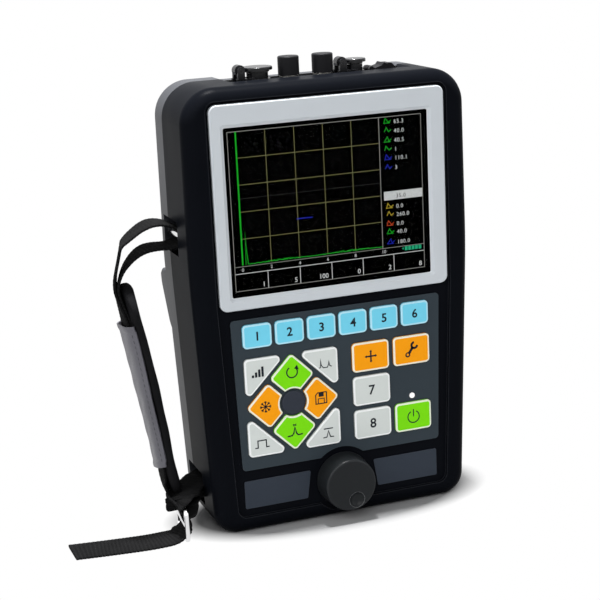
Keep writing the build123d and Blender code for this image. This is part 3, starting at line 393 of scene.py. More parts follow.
black_rubber = moulded("black_rubber", (0.014, 0.014, 0.015, 1.0), 0.62, depth=0.35, mottle=0.2)
screw_steel = metal("screw_steel", (0.36, 0.36, 0.37, 1.0), 0.34)
dress(black_rubber, "case_seal")
dress(screw_steel, "case_screws", "cover_screws", "stand_pin", "encoder_shaft")


# Screen bezel
# A moulded frame painted pale silver grey, with a sunk bevel round the glass. The paint has a fine pearl
# speckle, and a painted highlight makes the frame's edges a little paler.
silver_paint = moulded("silver_paint", (0.538, 0.572, 0.600, 1.0), 0.38, depth=0.12, mottle=0.05,
                       grain=0.3 * mm, wear_and_edge_highlight=((0.72, 0.74, 0.76, 1.0), 0.6 * mm, 0.6),
                       specular=0.2, Coat_Weight=0.15, Coat_Roughness=0.3)
dress(silver_paint, "screen_bezel")


# Screen
# A colour LCD behind a clear window: black ground, grid, echo trace, a column of readings and a row of boxes.
# Everything on it is drawn by flat strokes that lie on the module's face and glow, set out in millimetres.
lcd_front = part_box("lcd_module")[0].y
picture_y = lcd_front - 0.06 * mm
upper_y = picture_y - 0.02 * mm
grid_columns = [-33.7, -18.5, -3.2, 12.1]
grid_rows = [196.6, 183.1, 169.5, 155.8]
plot_left, plot_right, plot_low, plot_top = -48.9, 27.3, 142.5, 209.7
frame_left, frame_right, menu_low, menu_top = -53.2, 50.6, 129.3, 138.2
faint_row = 176.2
gate_row, gate_ends = 162.8, (-19.3, -10.7)
line_width, fine_line, thin_line, faint_line = 0.34, 0.3, 0.32, 0.22
pulse_width, gate_width = 0.75, 0.4
numeral_share = 1.4


def stroke(points, width, closed=False):
    """A line of even width through points (x, z): each point is moved both ways along its mitre."""
    points = np.asarray(points, float)
    ahead = np.roll(points, -1, axis=0) - points
    behind = points - np.roll(points, 1, axis=0)
    if not closed:
        ahead[-1] = behind[-1]
        behind[0] = ahead[0]
    ahead /= np.linalg.norm(ahead, axis=1)[:, None]
    behind /= np.linalg.norm(behind, axis=1)[:, None]
    side = np.stack([-(ahead + behind)[:, 1], (ahead + behind)[:, 0]], axis=1)
    side /= np.linalg.norm(side, axis=1)[:, None]
    square = np.stack([-ahead[:, 1], ahead[:, 0]], axis=1)
    reach = width / 2 / np.maximum((side * square).sum(axis=1), 0.5)[:, None]
    corners = np.concatenate([points - side * reach, points + side * reach])
    count = len(points)
    i = np.arange(count if closed else count - 1)
    following = (i + 1) % count
    return corners, np.stack([i, following, following + count, i + count], axis=1).tolist()


def patch(x_low, z_low, x_high, z_high):
    """A filled rectangle."""
    return np.array([(x_low, z_low), (x_high, z_low), (x_high, z_high), (x_low, z_high)]), [[0, 1, 2, 3]]


def filled(points):
    """A filled outline, its points anticlockwise."""
    return np.asarray(points, float), [list(range(len(points)))]


def numerals(text, x, z, height, weight=0.0, spacing=1.0):
    """Plain numerals, their left foot at x, z; weight thickens the strokes.

    A font is numeral_share times as high as its numerals."""
    curve = bpy.data.curves.new("numerals", "FONT")
    curve.body = text
    curve.size = height * numeral_share
    curve.offset = weight
    curve.space_character = spacing
    curve.resolution_u = 3
    holder = bpy.data.objects.new("numerals", curve)
    bpy.context.scene.collection.objects.link(holder)
    mesh = bpy.data.meshes.new_from_object(holder)
    points = np.array([v.co[:2] for v in mesh.vertices]).reshape(-1, 2) + (x, z)
    faces = [list(p.vertices) for p in mesh.polygons]
    bpy.data.objects.remove(holder)
    bpy.data.curves.remove(curve)
    bpy.data.meshes.remove(mesh)
    return points, faces


def flat_piece(name, shapes, y, material, body):
    """One piece of several flat shapes given in millimetres, on the plane y and facing the front."""
    points, faces, first = [], [], 0
    for corners, loops in shapes:
        points.append(np.stack([corners[:, 0] * mm, np.full(len(corners), y), corners[:, 1] * mm], axis=1))
        faces += [[first + k for k in loop] for loop in loops]
        first += len(corners)
    mesh = bpy.data.meshes.new(name)
    mesh.from_pydata(np.concatenate(points).tolist(), [], faces)
    turn_to_front(mesh)
    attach(show(name, mesh, material), body)


def turn_to_front(mesh):
    """Turns round each face whose normal points away from the front."""
    backward = [p.index for p in mesh.polygons if p.normal.y > 0]
    for index in backward:
        mesh.polygons[index].flip()
    mesh.update()


def glow_group():
    """LCD picture elements: rows and columns of dots with dark lines between them, some a little weaker."""
    group, given, out = shader_group("lcd_dots", {"Color": full_white})
    upright = add_node(group, "ShaderNodeMapping", {"Vector": object_place(group),
                                                    "Rotation": (math.pi / 2, 0, 0)})
    dots = add_node(group, "ShaderNodeTexBrick", {
        "Vector": upright.outputs[0], "Color1": full_white, "Color2": (0.8, 0.8, 0.8, 1),
        "Mortar": (0.35, 0.35, 0.35, 1), "Scale": 3000.0, "Mortar Size": 0.08, "Brick Width": 1.0,
        "Row Height": 1.0}, offset=0.0)
    mixed = add_node(group, "ShaderNodeVectorMath", {0: given["Color"], 1: dots.outputs["Color"]},
                     operation="MULTIPLY")
    group.links.new(mixed.outputs[0], out["Color"])
    return group


lcd_dots = glow_group()


def lit(name, colour):
    """A lit part of the picture: black by itself, with its colour given out."""
    material = bpy.data.materials.new(name)
    material.use_nodes = True
    tree = material.node_tree
    shader = tree.nodes["Principled BSDF"]
    shader.inputs["Base Color"].default_value = (0.0, 0.0, 0.0, 1.0)
    shader.inputs["Specular IOR Level"].default_value = 0.0
    shader.inputs["Roughness"].default_value = 0.35
    shader.inputs["Emission Strength"].default_value = 1.0
    material.cycles.emission_sampling = "NONE"
    dots = add_node(tree, "ShaderNodeGroup", {"Color": colour}, node_tree=lcd_dots)
    tree.links.new(dots.outputs["Color"], shader.inputs["Emission Color"])
    return material


picture_colours = {
    "white": (0.66, 0.68, 0.68, 1.0),
    "grey": (0.30, 0.30, 0.28, 1.0),
    "olive": (0.17, 0.165, 0.065, 1.0),
    "green": (0.01, 0.46, 0.02, 1.0),
    "blue": (0.01, 0.02, 0.50, 1.0),
    "yellow": (0.55, 0.42, 0.03, 1.0),
    "red": (0.60, 0.07, 0.02, 1.0),
    "teal": (0.02, 0.42, 0.20, 1.0),
    "dark": (0.02, 0.02, 0.02, 1.0),
}
lcd = {name: lit("lcd_" + name, colour) for name, colour in picture_colours.items()}


def across_line(left, right, z, width):
    return stroke([(left, z), (right, z)], width)


def upright_line(x, low, high, width):
    return stroke([(x, low), (x, high)], width)


grid = [upright_line(x, plot_low, plot_top, line_width) for x in grid_columns]
grid += [across_line(plot_left, plot_right, z, line_width) for z in grid_rows]
flat_piece("screen_grid", grid, picture_y, lcd["olive"], "case")
faint = [across_line(plot_left, plot_right, faint_row, faint_line)]
flat_piece("screen_faint_line", faint, picture_y, lcd["dark"], "case")
rim = [(frame_left, menu_low), (frame_right, menu_low), (frame_right, plot_top), (frame_left, plot_top)]
outline = [stroke(rim, fine_line, closed=True),
           upright_line(plot_right, plot_low - 0.6, plot_top, line_width),
           across_line(frame_left, frame_right, plot_low - 0.7, 0.26)]
flat_piece("screen_frame", outline, picture_y, lcd["grey"], "case")
menu_step = (frame_right - frame_left) / 6
menu = [across_line(frame_left, frame_right, menu_top, line_width)]
menu += [upright_line(frame_left + menu_step * i, menu_low, menu_top, line_width) for i in range(1, 6)]
flat_piece("screen_menu", menu, picture_y, lcd["white"], "case")


def echo_trace():
    """Rectified echo: the first pulse runs off the top, a second one follows, then a low ragged floor."""
    x = np.arange(plot_left + 3.0, plot_right, 0.28)
    ragged = np.random.default_rng(7).random(len(x))
    z = plot_low + 0.15 + 0.9 * ragged * (0.65 + 0.35 * np.sin(x / 6.0))
    first = [(plot_left, plot_low), (plot_left, plot_top)]
    second = [(-47.2, plot_low), (-46.9, 159.6), (-46.5, 149.0), (-45.9, plot_low + 0.4)]
    return first, second + list(zip(x, z))


first_pulse, later_echoes = echo_trace()
trace = [stroke(first_pulse, pulse_width), stroke(later_echoes, thin_line)]
flat_piece("screen_trace", trace, upper_y, lcd["green"], "case")
flat_piece("screen_gate", [across_line(*gate_ends, gate_row, gate_width)], upper_y, lcd["blue"], "case")

scale_row, scale_height = 139.2, 1.8
scale_step = (plot_right - plot_left) / 5
scale = [numerals(str(2 * i), plot_left + scale_step * i - 0.7, scale_row, scale_height) for i in range(6)]
reading_x, reading_height, reading_spacing = 35.5, 2.1, 1.12
upper_readings = [("65.3", 207.0), ("40.0", 202.2), ("40.5", 197.4), ("1", 192.8), ("110.1", 188.3),
                  ("3", 183.4)]
lower_readings = [("0.0", 163.2), ("260.0", 158.9), ("0.0", 154.1), ("40.0", 149.8), ("180.0", 144.4)]
chosen_reading, chosen_box = ("35.0", 168.6), (28.9, 166.8, 50.4, 171.3)
box_numbers, box_height, box_weight = ("1", "5", "100", "0", "2", "8"), 2.5, 0.03


def box_foot(text, i):
    """Where a number starts in the row of boxes, so that it ends a little before the next upright line."""
    return frame_left + menu_step * (i + 1) - 2.0 * len(text) - 1.2


def reading(text, z):
    """A value of the right-hand column, its middle near the height z."""
    return numerals(text, reading_x, z - 0.9, reading_height, spacing=reading_spacing)


readings = [reading(text, z) for text, z in upper_readings + lower_readings]
boxes = [numerals(text, box_foot(text, i), menu_low + 1.1, box_height, box_weight)
         for i, text in enumerate(box_numbers)]
flat_piece("screen_numerals", scale + readings + boxes, picture_y, lcd["white"], "case")
flat_piece("screen_chosen_row", [patch(*chosen_box)], picture_y, lcd["white"], "case")
flat_piece("screen_chosen_reading", [reading(*chosen_reading)], upper_y, lcd["dark"], "case")

mark_x = 31.4
cells_left, cells_low, cells_high = 39.6, 139.4, 141.5
cell_pitch, cell_width = 1.95, 1.6


def drawn(x, z, *lines):
    """Strokes given as (width, points), with the points measured from (x, z)."""
    return [stroke(np.array(points) + (x, z), width) for width, points in lines]


def peak_mark(z, lean, footed):
    """A small mark beside a reading: a peak that leans one way, on a line of its own where it is footed."""
    lines = [(thin_line, [(-1.2, -0.9), (lean, 1.3), (1.2, -0.9), (2.6, 0.2)])]
    if footed:
        lines.append((fine_line, [(-1.6, -1.2), (2.2, -1.2)]))
    return drawn(mark_x, z, *lines)


def marks(name, heights, material):
    """A mark at each height, by turns leaning left, upright and leaning right, and every second footed."""
    shapes = [shape for i, z in enumerate(heights) for shape in peak_mark(z, 0.5 * (i % 3 - 1), i % 2 == 0)]
    flat_piece(name, shapes, picture_y, material, "case")


marks("screen_green_marks", (207.7, 202.9, 198.1, 193.5, 150.5), lcd["green"])
marks("screen_blue_marks", (189.1, 184.0, 145.1), lcd["blue"])
marks("screen_yellow_marks", (163.9, 159.6), lcd["yellow"])
marks("screen_red_marks", (154.8,), lcd["red"])
cells = [patch(cells_left + cell_pitch * i, cells_low, cells_left + cell_pitch * i + cell_width, cells_high)
         for i in range(5)]
cells.append(patch(cells_left - 1.3, cells_low + 0.6, cells_left - 0.6, cells_high - 0.5))
flat_piece("screen_charge_cells", cells, picture_y, lcd["teal"], "case")

dark_glass = moulded("lcd_black", (0.00003, 0.00003, 0.00004, 1.0), 0.60, depth=0.02, mottle=0.3,
                     grain=0.4 * mm, specular=0.0)
window_glass = moulded("clear_window", (0.97, 0.98, 0.98, 1.0), 0.05, depth=0.0, mottle=0.02, grain=20 * mm,
                       Transmission_Weight=1.0, IOR=1.05)
# Clear glass keeps a plain roughness and its true normal
window_shader = window_glass.node_tree.nodes["Principled BSDF"]
for socket in ("Roughness", "Normal"):
    for link in list(window_shader.inputs[socket].links):
        window_glass.node_tree.links.remove(link)
window_shader.inputs["Roughness"].default_value = 0.0
dress(dark_glass, "lcd_module")
dress(window_glass, "display_window")


# Keypad overlay
# A slate-grey printed film over the keys, with a fixed disc amid the diamonds and a small light above the
# green key. Behind the wall lie the rubber mat and its circuit board.
slate = (0.029, 0.040, 0.049, 1.0)
# The film and the disc carry a painted highlight along their edges
overlay_film = moulded("slate_film", slate, 0.44, depth=0.20, mottle=0.07, grain=0.35 * mm,
                       wear_and_edge_highlight=((0.10, 0.12, 0.135, 1.0), 0.4 * mm, 0.5), specular=0.1)
hub_film = moulded("slate_disc", (0.028, 0.033, 0.045, 1.0), 0.40, depth=0.25, mottle=0.08,
                   wear_and_edge_highlight=((0.07, 0.08, 0.09, 1.0), 0.4 * mm, 0.4), specular=0.1)
light_lens = moulded("light_lens", (0.86, 0.84, 0.84, 1.0), 0.25, depth=0.1, mottle=0.04,
                     Emission_Color=(1.0, 0.93, 0.93, 1.0), Emission_Strength=0.25)
grey_rubber = moulded("mat_rubber", (0.20, 0.20, 0.21, 1.0), 0.6, depth=0.3, mottle=0.12)
board_green = moulded("board_lacquer", (0.012, 0.085, 0.035, 1.0), 0.3, depth=0.25, mottle=0.3,
                      grain=1.5 * mm)
dress(overlay_film, "keypad_overlay")
dress(hub_film, "nav_hub")
dress(light_lens, "status_light")
dress(grey_rubber, "keypad_mat")
dress(board_green, "keypad_board", "main_board")


# Keys
# Moulded caps that stand out of the film, each with a pale printed border on its rounded edge and a dark
# printed mark. Blue caps carry numerals, the others plain signs.
key_colours = {
    "blue": (0.171, 0.617, 0.799, 1.0),
    "green": (0.190, 0.700, 0.006, 1.0),
    "orange": (0.910, 0.332, 0.005, 1.0),
    "grey": (0.610, 0.645, 0.620, 1.0),
}
border_colours = {
    "blue": (0.43, 0.75, 0.87, 1.0),
    "green": (0.80, 0.86, 0.66, 1.0),
    "orange": (0.86, 0.82, 0.66, 1.0),
    "grey": (0.84, 0.86, 0.85, 1.0),
}
caps = {colour: moulded("key_" + colour, value, 0.42, depth=0.22, mottle=0.04, grain=0.4 * mm,
                        specular=0.05) for colour, value in key_colours.items()}
borders = {colour: moulded("key_border_" + colour, value, 0.45, depth=0.15, mottle=0.04,
                           specular=0.1) for colour, value in border_colours.items()}
print_dark = moulded("key_print", (0.010, 0.013, 0.018, 1.0), 0.5, depth=0.1, mottle=0.15, specular=0.1)
border_width = 0.95
border_proud = 0.02
key_edge = 0.5
print_weight = 0.14
colour_of = {"key_f%d" % i: "blue" for i in range(1, 7)}
colour_of.update(key_up="green", key_down="green", key_left="orange", key_right="orange", key_power="green",
                 key_plus="orange", key_setup="orange", key_gain="grey", key_echo="grey", key_pulse="grey",
                 key_gate="grey", key_upper_grey="grey", key_lower_grey="grey")
key_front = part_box("key_f1")[0].y


def cap_rim(name):
    """The cap's outline in millimetres, anticlockwise: its solid's points where the round edge begins."""
    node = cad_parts[name]
    points = np.array([node.matrix_world @ v.co for v in node.data.vertices]) / mm
    level = np.abs(points[:, 1] - key_front / mm - key_edge) < 0.02
    rim = np.unique(points[level][:, [0, 2]].round(2), axis=0)
    x, z = (rim - (rim.max(axis=0) + rim.min(axis=0)) / 2).T
    return rim[np.argsort(np.arctan2(z, x))]


def border_piece(name):
    """The printed border: a strip round the outline that follows the cap's quarter-round edge.

    inset = edge (1 - cos a) and depth = edge (1 - sin a) over the quarter round, then level on the front."""
    rim = cap_rim(name)
    ahead = np.roll(rim, -1, axis=0) - np.roll(rim, 1, axis=0)
    inward = np.stack([-ahead[:, 1], ahead[:, 0]], axis=1) / np.linalg.norm(ahead, axis=1)[:, None]
    angle = np.append(np.linspace(0, math.pi / 2, 6), math.pi / 2)
    inset = key_edge * (1 - np.cos(angle))
    inset[-1] = border_width
    depth = key_edge * (1 - np.sin(angle))
    place = rim[:, None, :] + inward[:, None, :] * (inset - border_proud * np.cos(angle))[None, :, None]
    y = np.broadcast_to(key_front / mm + depth - border_proud, place.shape[:2])
    points = np.stack([place[..., 0], y, place[..., 1]], axis=-1) * mm
    mesh = grid_mesh(name + "_border", points, closed_u=True)
    turn_to_front(mesh)
    mesh.shade_smooth()
    piece = show(name + "_border", mesh, borders[colour_of[name]])
    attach(piece, name)


def arc_points(x, z, radius, start, end, count=24):
    """Points on a circle from one angle to another, in degrees anticlockwise from +X."""
    angle = np.radians(np.linspace(start, end, count))
    return np.stack([x + radius * np.cos(angle), z + radius * np.sin(angle)], axis=1)


def middle_of(name):
    """The middle of a node seen from the front, x and z in millimetres."""
    low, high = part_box(name)
    return (low.x + high.x) / 2 / mm, (low.z + high.z) / 2 / mm


def centred_numeral(text, height, x, z):
    """A numeral with its middle at (x, z)."""
    points, faces = numerals(text, 0, 0, height, print_weight)
    return points - (points.max(axis=0) + points.min(axis=0)) / 2 + (x, z), faces


def four_points(x, z, reach=3.5, waist=0.42):
    """A plus whose arms end in points."""
    tips = []
    for turn in (0, 90, 180, 270):
        c, s = math.cos(math.radians(turn)), math.sin(math.radians(turn))
        for along, across in ((waist, -waist), (reach * 0.7, -waist), (reach * 0.7, -waist * 2.0), (reach, 0),
                              (reach * 0.7, waist * 2.0), (reach * 0.7, waist)):
            tips.append((x + along * c - across * s, z + along * s + across * c))
    return [filled(tips)]


def snow_star(x, z, reach=3.1):
    """Four bars through one middle, with a pair of barbs near each end."""
    shapes = []
    for turn in range(0, 180, 45):
        c, s = math.cos(math.radians(turn)), math.sin(math.radians(turn))
        shapes.append(stroke([(x - reach * c, z - reach * s), (x + reach * c, z + reach * s)], 0.5))
        for way in (-1, 1):
            root = np.array([x + way * reach * 0.62 * c, z + way * reach * 0.62 * s])
            for lean in (-38, 38):
                angle = math.radians(turn + lean) + (0 if way > 0 else math.pi)
                barb = reach * 0.36 * np.array([math.cos(angle), math.sin(angle)])
                shapes.append(stroke([root, root + barb], 0.42))
    return shapes


def disk_mark(x, z, half=3.0, cut=1.1):
    """A store sign: a square with one cut corner, a shutter above and a label below."""
    rim = [(x - half, z - half), (x + half, z - half), (x + half, z + half), (x - half + cut, z + half),
           (x - half, z + half - cut)]
    label, label_top = half * 0.55, z - half * 0.1
    return [stroke(rim, 0.6, closed=True),
            patch(x - half * 0.45, z + half * 0.25, x + half * 0.5, z + half),
            stroke([(x - label, z - half), (x - label, label_top), (x + label, label_top),
                    (x + label, z - half)], 0.5)]


def wrench_mark(x, z, length=6.7):
    """A ring spanner at 45 degrees: a ring below, an open jaw above."""
    middle, side, rise = x - 0.3, length * 0.29, length * 0.36
    low, high = (middle - side, z - rise), (middle + side, z + rise)
    return [stroke([(low[0] + 0.8, low[1] + 0.8), (high[0] - 0.9, high[1] - 0.9)], 1.5),
            stroke(arc_points(*low, 1.05, 0, 345), 0.75, closed=True),
            stroke(arc_points(*high, 1.6, 95, 355), 1.25)]


def power_mark(x, z):
    """A ring open at the top with a bar standing in the gap."""
    return [stroke(arc_points(x, z - 0.3, 3.3, 118, 422), 0.62), upright_line(x, z - 0.2, z + 3.9, 0.62)]


def turn_mark(x, z):
    """A ring open at its upper right with an arrow head on its end."""
    head = np.array([(1.1, 2.2), (3.7, 1.3), (2.9, 4.1)]) + (x, z)
    return [stroke(arc_points(x, z + 0.4, 2.9, 120, 400), 0.7), filled(head)]


def rising_bars(x, z):
    """Four bars in the key's upper left corner, each taller than the one before."""
    x, z = x - 2.7, z + 2.4
    return [patch(x - 3.25 + 1.75 * i, z - 2.7, x - 2.0 + 1.75 * i, z - 1.3 + 1.33 * i) for i in range(4)]


numeral_of = {"key_f%d" % i: (str(i), 4.6) for i in range(1, 7)}
numeral_of.update(key_upper_grey=("7", 5.2), key_lower_grey=("8", 5.2))
sign_of = {"key_plus": four_points, "key_setup": wrench_mark, "key_power": power_mark, "key_left": snow_star,
           "key_right": disk_mark, "key_up": turn_mark, "key_gain": rising_bars}
# Signs drawn by lines: how far each one's middle lies from the key's, then its lines as (width, points)
lines_of = {
    "key_down": ((0, 0), (0.75, [(-4.2, -2.2), (-1.6, -2.0), (-0.7, -0.8), (0, 2.4), (0.8, -0.9), (1.7, -2.0),
                                 (4.2, -1.8)]),
                 (0.45, [(-1.0, 4.1), (0.9, 3.1)]), (0.45, [(-1.0, 3.1), (0.9, 4.1)])),
    "key_echo": ((2.6, 1.8), (0.5, [(-3.5, -2.3), (-2.8, -2.1), (-2.6, 2.5), (-2.2, -1.1), (-1.1, -2.4),
                                    (1.1, -2.4), (1.7, -1.1), (2.0, 1.0), (2.4, -1.7), (3.5, -2.2)])),
    "key_pulse": ((-2.4, -2.9), (0.62, [(-3.9, -1.9), (-2.3, -1.9), (-2.3, 1.9), (2.3, 1.9), (2.3, -1.9),
                                        (3.9, -1.9)])),
    "key_gate": ((2.7, -3.0), (0.62, [(-2.6, 2.4), (2.6, 2.4)]),
                 (0.6, [(-3.0, -2.4), (-1.0, -2.2), (0, 1.1), (1.0, -2.2), (3.0, -2.4)])),
}


def sign_shapes(name):
    """The dark mark on one key."""
    x, z = middle_of(name)
    if name in numeral_of:
        return [centred_numeral(*numeral_of[name], x, z)]
    if name in sign_of:
        return sign_of[name](x, z)
    (right, up), *lines = lines_of[name]
    return drawn(x + right, z + up, *lines)


for name, colour in colour_of.items():
    dress(caps[colour], name)
    border_piece(name)
    flat_piece(name + "_mark", sign_shapes(name), key_front - 0.03 * mm, print_dark, name)


# Lower plates
# Two bare plates of darker slate, one on each side of the knob. They are a film like the overlay's and lie
# in the foot of the panel.
# The plates' edges carry a painted highlight
plate_film = moulded("plate_film", (0.029, 0.037, 0.051, 1.0), 0.42, depth=0.22, mottle=0.08, grain=0.35 * mm,
                     wear_and_edge_highlight=((0.09, 0.10, 0.12, 1.0), 0.3 * mm, 0.6), specular=0.1)
dress(plate_film, "left_plate", "right_plate")


# Knob
# A moulded knob with a satin coat, a painted highlight as a bright edge round its face and a dimple for the
# fingertip. It turns on the shaft of an encoder in a plated case.
knob_satin = moulded("knob_satin", (0.011, 0.0125, 0.014, 1.0), 0.36, depth=0.25, mottle=0.12,
                     wear_and_edge_highlight=((0.42, 0.43, 0.44, 1.0), 0.5 * mm, 0.8), specular=0.12)
encoder_case = metal("encoder_case", (0.42, 0.42, 0.43, 1.0), 0.4)
dress(knob_satin, "knob")
dress(encoder_case, "encoder")


# Sockets and covers on the top
# Two nickel probe sockets under rubber dust caps, two round sockets under hinged lids with black pins, and
# a data port under a ridged rubber cover.
nickel = metal("socket_nickel", (0.56, 0.55, 0.52, 1.0), 0.22)
# The dust caps, the port cover and the lids carry a painted highlight along their edges
cap_rubber = moulded("cap_rubber", (0.008, 0.008, 0.0095, 1.0), 0.48, depth=0.45, mottle=0.15,
                     wear_and_edge_highlight=((0.05, 0.05, 0.06, 1.0), 0.5 * mm, 0.5), specular=0.12)
lid_plastic = moulded("lid_gloss", (0.006, 0.0063, 0.0075, 1.0), 0.24, depth=0.15, mottle=0.1,
                      wear_and_edge_highlight=((0.10, 0.10, 0.11, 1.0), 0.5 * mm, 0.5), specular=0.3)
dress(nickel, "left_probe_socket", "right_probe_socket")
dress(cap_rubber, "left_dust_cap", "right_dust_cap", "port_cover")
dress(lid_plastic, "large_lid", "small_lid", "large_socket", "small_socket", "port_socket", "lid_hinge_pins")


# Strap pins and buckle
# Polished steel: a pin across each side recess, held in its walls, and a three-bar buckle bent from round
# wire.
chrome = metal("chrome", (0.78, 0.78, 0.79, 1.0), 0.10, lines=0.12)
dress(chrome, "strap_pins", "buckle")


# Strap webbing
# One black polyester band with cross ribs. It goes up from inside the grip, round the upper pin and back,
# down through the grip, over the buckle's middle bar and out along the floor to a slanting heat-cut end.
band_width = 19.0
band_thickness = 1.5
rib_pitch = 1.9
rib_height = 0.13
band_step = 0.26
band_sides = 28
spans_between = 24
strap_middle = 9.0
tail_slant = -3.2
slant_reach = 12.0
# Points (x, z) along the band's middle, each with how far its width is turned from +Y towards +X, in degrees.
# The lower ones, where the band leaves the strap's middle plane, are (x, y, z) and the turn.
upper_points = [
    (-96.4, 68.0, 2), (-99.8, 90.0, 1), (-102.7, 108.0, 1), (-104.2, 116.0, 3), (-106.1, 124.0, 8),
    (-107.2, 130.5, 14), (-107.0, 136.0, 16), (-106.0, 140.5, 16), (-104.8, 144.8, 16), (-103.8, 148.6, 16),
    (-103.0, 151.6, 15), (-101.9, 153.7, 13), (-99.6, 155.8, 10), (-97.1, 157.7, 8), (-94.1, 159.7, 7),
    (-91.1, 161.3, 5), (-87.4, 162.5, 3), (-83.5, 162.7, 1), (-79.4, 161.9, 0), (-75.4, 160.1, 0),
    (-72.1, 158.2, 0), (-69.0, 155.1, 0), (-72.1, 152.0, 0), (-75.6, 150.6, 0), (-79.6, 150.1, 0),
    (-84.4, 150.3, 1), (-88.4, 150.1, 3), (-91.5, 149.4, 6), (-94.4, 148.1, 8), (-97.1, 146.2, 10),
    (-99.5, 143.9, 12), (-101.9, 141.0, 14), (-103.8, 137.6, 15), (-105.2, 133.6, 15), (-105.7, 129.5, 12),
    (-104.7, 123.6, 7), (-102.7, 116.0, 3), (-101.2, 108.0, 1), (-98.3, 90.0, 1), (-94.9, 68.0, 2),
    (-91.2, 44.0, 3),
]
lower_points = [
    (-90.3, 8.9, 34.0, 4), (-90.0, 8.0, 26.5, 4), (-89.2, 5.0, 20.6, 4), (-87.6, -0.6, 16.4, 4),
    (-86.0, -6.8, 13.8, 5), (-85.0, -11.4, 11.8, 5), (-83.5, -12.2, 9.0, 5), (-84.2, -12.4, 5.8, 5),
    (-86.0, -12.9, 3.9, 6), (-88.3, -13.6, 2.8, 7), (-90.8, -14.3, 1.6, 7), (-94.4, -15.0, 1.0, 8),
    (-100.0, -15.4, 0.9, 8), (-107.0, -15.3, 0.9, 8), (-118.0, -14.1, 0.9, 8), (-131.0, -12.3, 0.9, 8),
    (-143.1, -10.4, 0.9, 8),
]


def on_middle(points):
    """Points (x, z) and their turns, put on the strap's middle plane."""
    return [(x, strap_middle, z, turn) for x, z, turn in points]


band_route = on_middle(upper_points) + lower_points


def smooth_line(points, step):
    """A Catmull-Rom curve through the points, then taken at even steps of its length."""
    points = np.asarray(points, float)
    padded = np.concatenate([2 * points[:1] - points[1:2], points, 2 * points[-1:] - points[-2:-1]])
    t = np.linspace(0, 1, spans_between, endpoint=False)[None, :, None]
    a, b, c, d = (padded[k:k + len(points) - 1, None, :] for k in range(4))
    bend, twist = 2 * a - 5 * b + 4 * c - d, 3 * b - a - 3 * c + d
    curve = 0.5 * (2 * b + (c - a) * t + bend * t ** 2 + twist * t ** 3)
    curve = np.concatenate([curve.reshape(-1, points.shape[1]), points[-1:]])
    run = np.append(0, np.cumsum(np.linalg.norm(np.diff(curve[:, :3], axis=0), axis=1)))
    even = np.linspace(0, run[-1], max(int(run[-1] / step), 2))
    return np.stack([np.interp(even, run, column) for column in curve.T], axis=1), even


def band_frames(line, turn):
    """Along, across and through directions of a band: across starts level, turned from +Y towards +X."""
    along = np.gradient(line, axis=0)
    along /= np.linalg.norm(along, axis=1)[:, None]
    across = np.stack([np.sin(turn), np.cos(turn), np.zeros_like(turn)], axis=1)
    across -= (across * along).sum(axis=1)[:, None] * along
    across /= np.linalg.norm(across, axis=1)[:, None]
    return along, across, np.cross(along, across)


def framed(route, step):
    """The smooth line through a route, its run, and its along, across and through directions."""
    line, run = smooth_line(route, step)
    return line[:, :3], run, *band_frames(line[:, :3], np.radians(line[:, 3]))


def carried(line, across, through, a, b):
    """A ring of points round each point of the line: a across it and b through it."""
    return line[:, None, :] + across[:, None, :] * a[..., None] + through[:, None, :] * b[..., None]


def flat_section(width, thickness, count, power=5.0):
    """A closed flat oval: across = w/2 sgn(cos) |cos|^(2/p), through = t/2 sgn(sin) |sin|^(2/p)."""
    angle = np.linspace(0, 2 * math.pi, count, endpoint=False)
    across, through = np.cos(angle), np.sin(angle)
    return (width / 2 * np.sign(across) * np.abs(across) ** (2 / power),
            thickness / 2 * np.sign(through) * np.abs(through) ** (2 / power))


def map_surface(mesh, across, along):
    """Lays the mesh out flat for its weave: u is the distance across and v the distance along, in metres."""
    loops = np.empty(len(mesh.loops), np.int64)
    mesh.loops.foreach_get("vertex_index", loops)
    u, v = (distance.ravel() for distance in np.meshgrid(across * mm, along * mm))
    layer = mesh.uv_layers.new(name="flat")
    layer.data.foreach_set("uv", np.stack([u[loops], v[loops]], axis=1).astype(np.float32).ravel())


def face_out(mesh):
    """Turns a closed mesh outwards: where its faces add up to a negative volume, they are flipped."""
    mesh.update()
    volume = sum(p.center.dot(p.normal) * p.area for p in mesh.polygons)
    if volume < 0:
        mesh.flip_normals()
    mesh.shade_smooth()


def tube(name, points, across, along):
    """A closed tube of rings, laid out flat and facing outwards."""
    mesh = grid_mesh(name, points * mm, closed_v=True, ends=True)
    map_surface(mesh, across, along)
    face_out(mesh)
    return mesh


def webbing(name, route, slant=0.0):
    """Ribbed webbing: a flat oval carried along a smooth line, thicker at each rib.

    through(v) = thickness/2 + rib_height |sin(pi v / pitch)|; the last end is cut on a slant."""
    line, run, along, across, through = framed(route, band_step)
    section_across, section_through = flat_section(band_width, band_thickness, band_sides)
    rib = 1 + rib_height * np.abs(np.sin(math.pi * run / rib_pitch)) * 2 / band_thickness
    edge = 1 + 0.012 * np.sin(2 * math.pi * run / rib_pitch)
    points = carried(line, across, through, section_across * edge[:, None], section_through * rib[:, None])
    near_end = np.clip((run - run[-1] + slant_reach) / slant_reach, 0, 1)
    cut = near_end[:, None] * (section_across / band_width + 0.5) * slant
    points -= along[:, None, :] * cut[..., None]
    return tube(name, points, section_across, run), run[-1] * mm


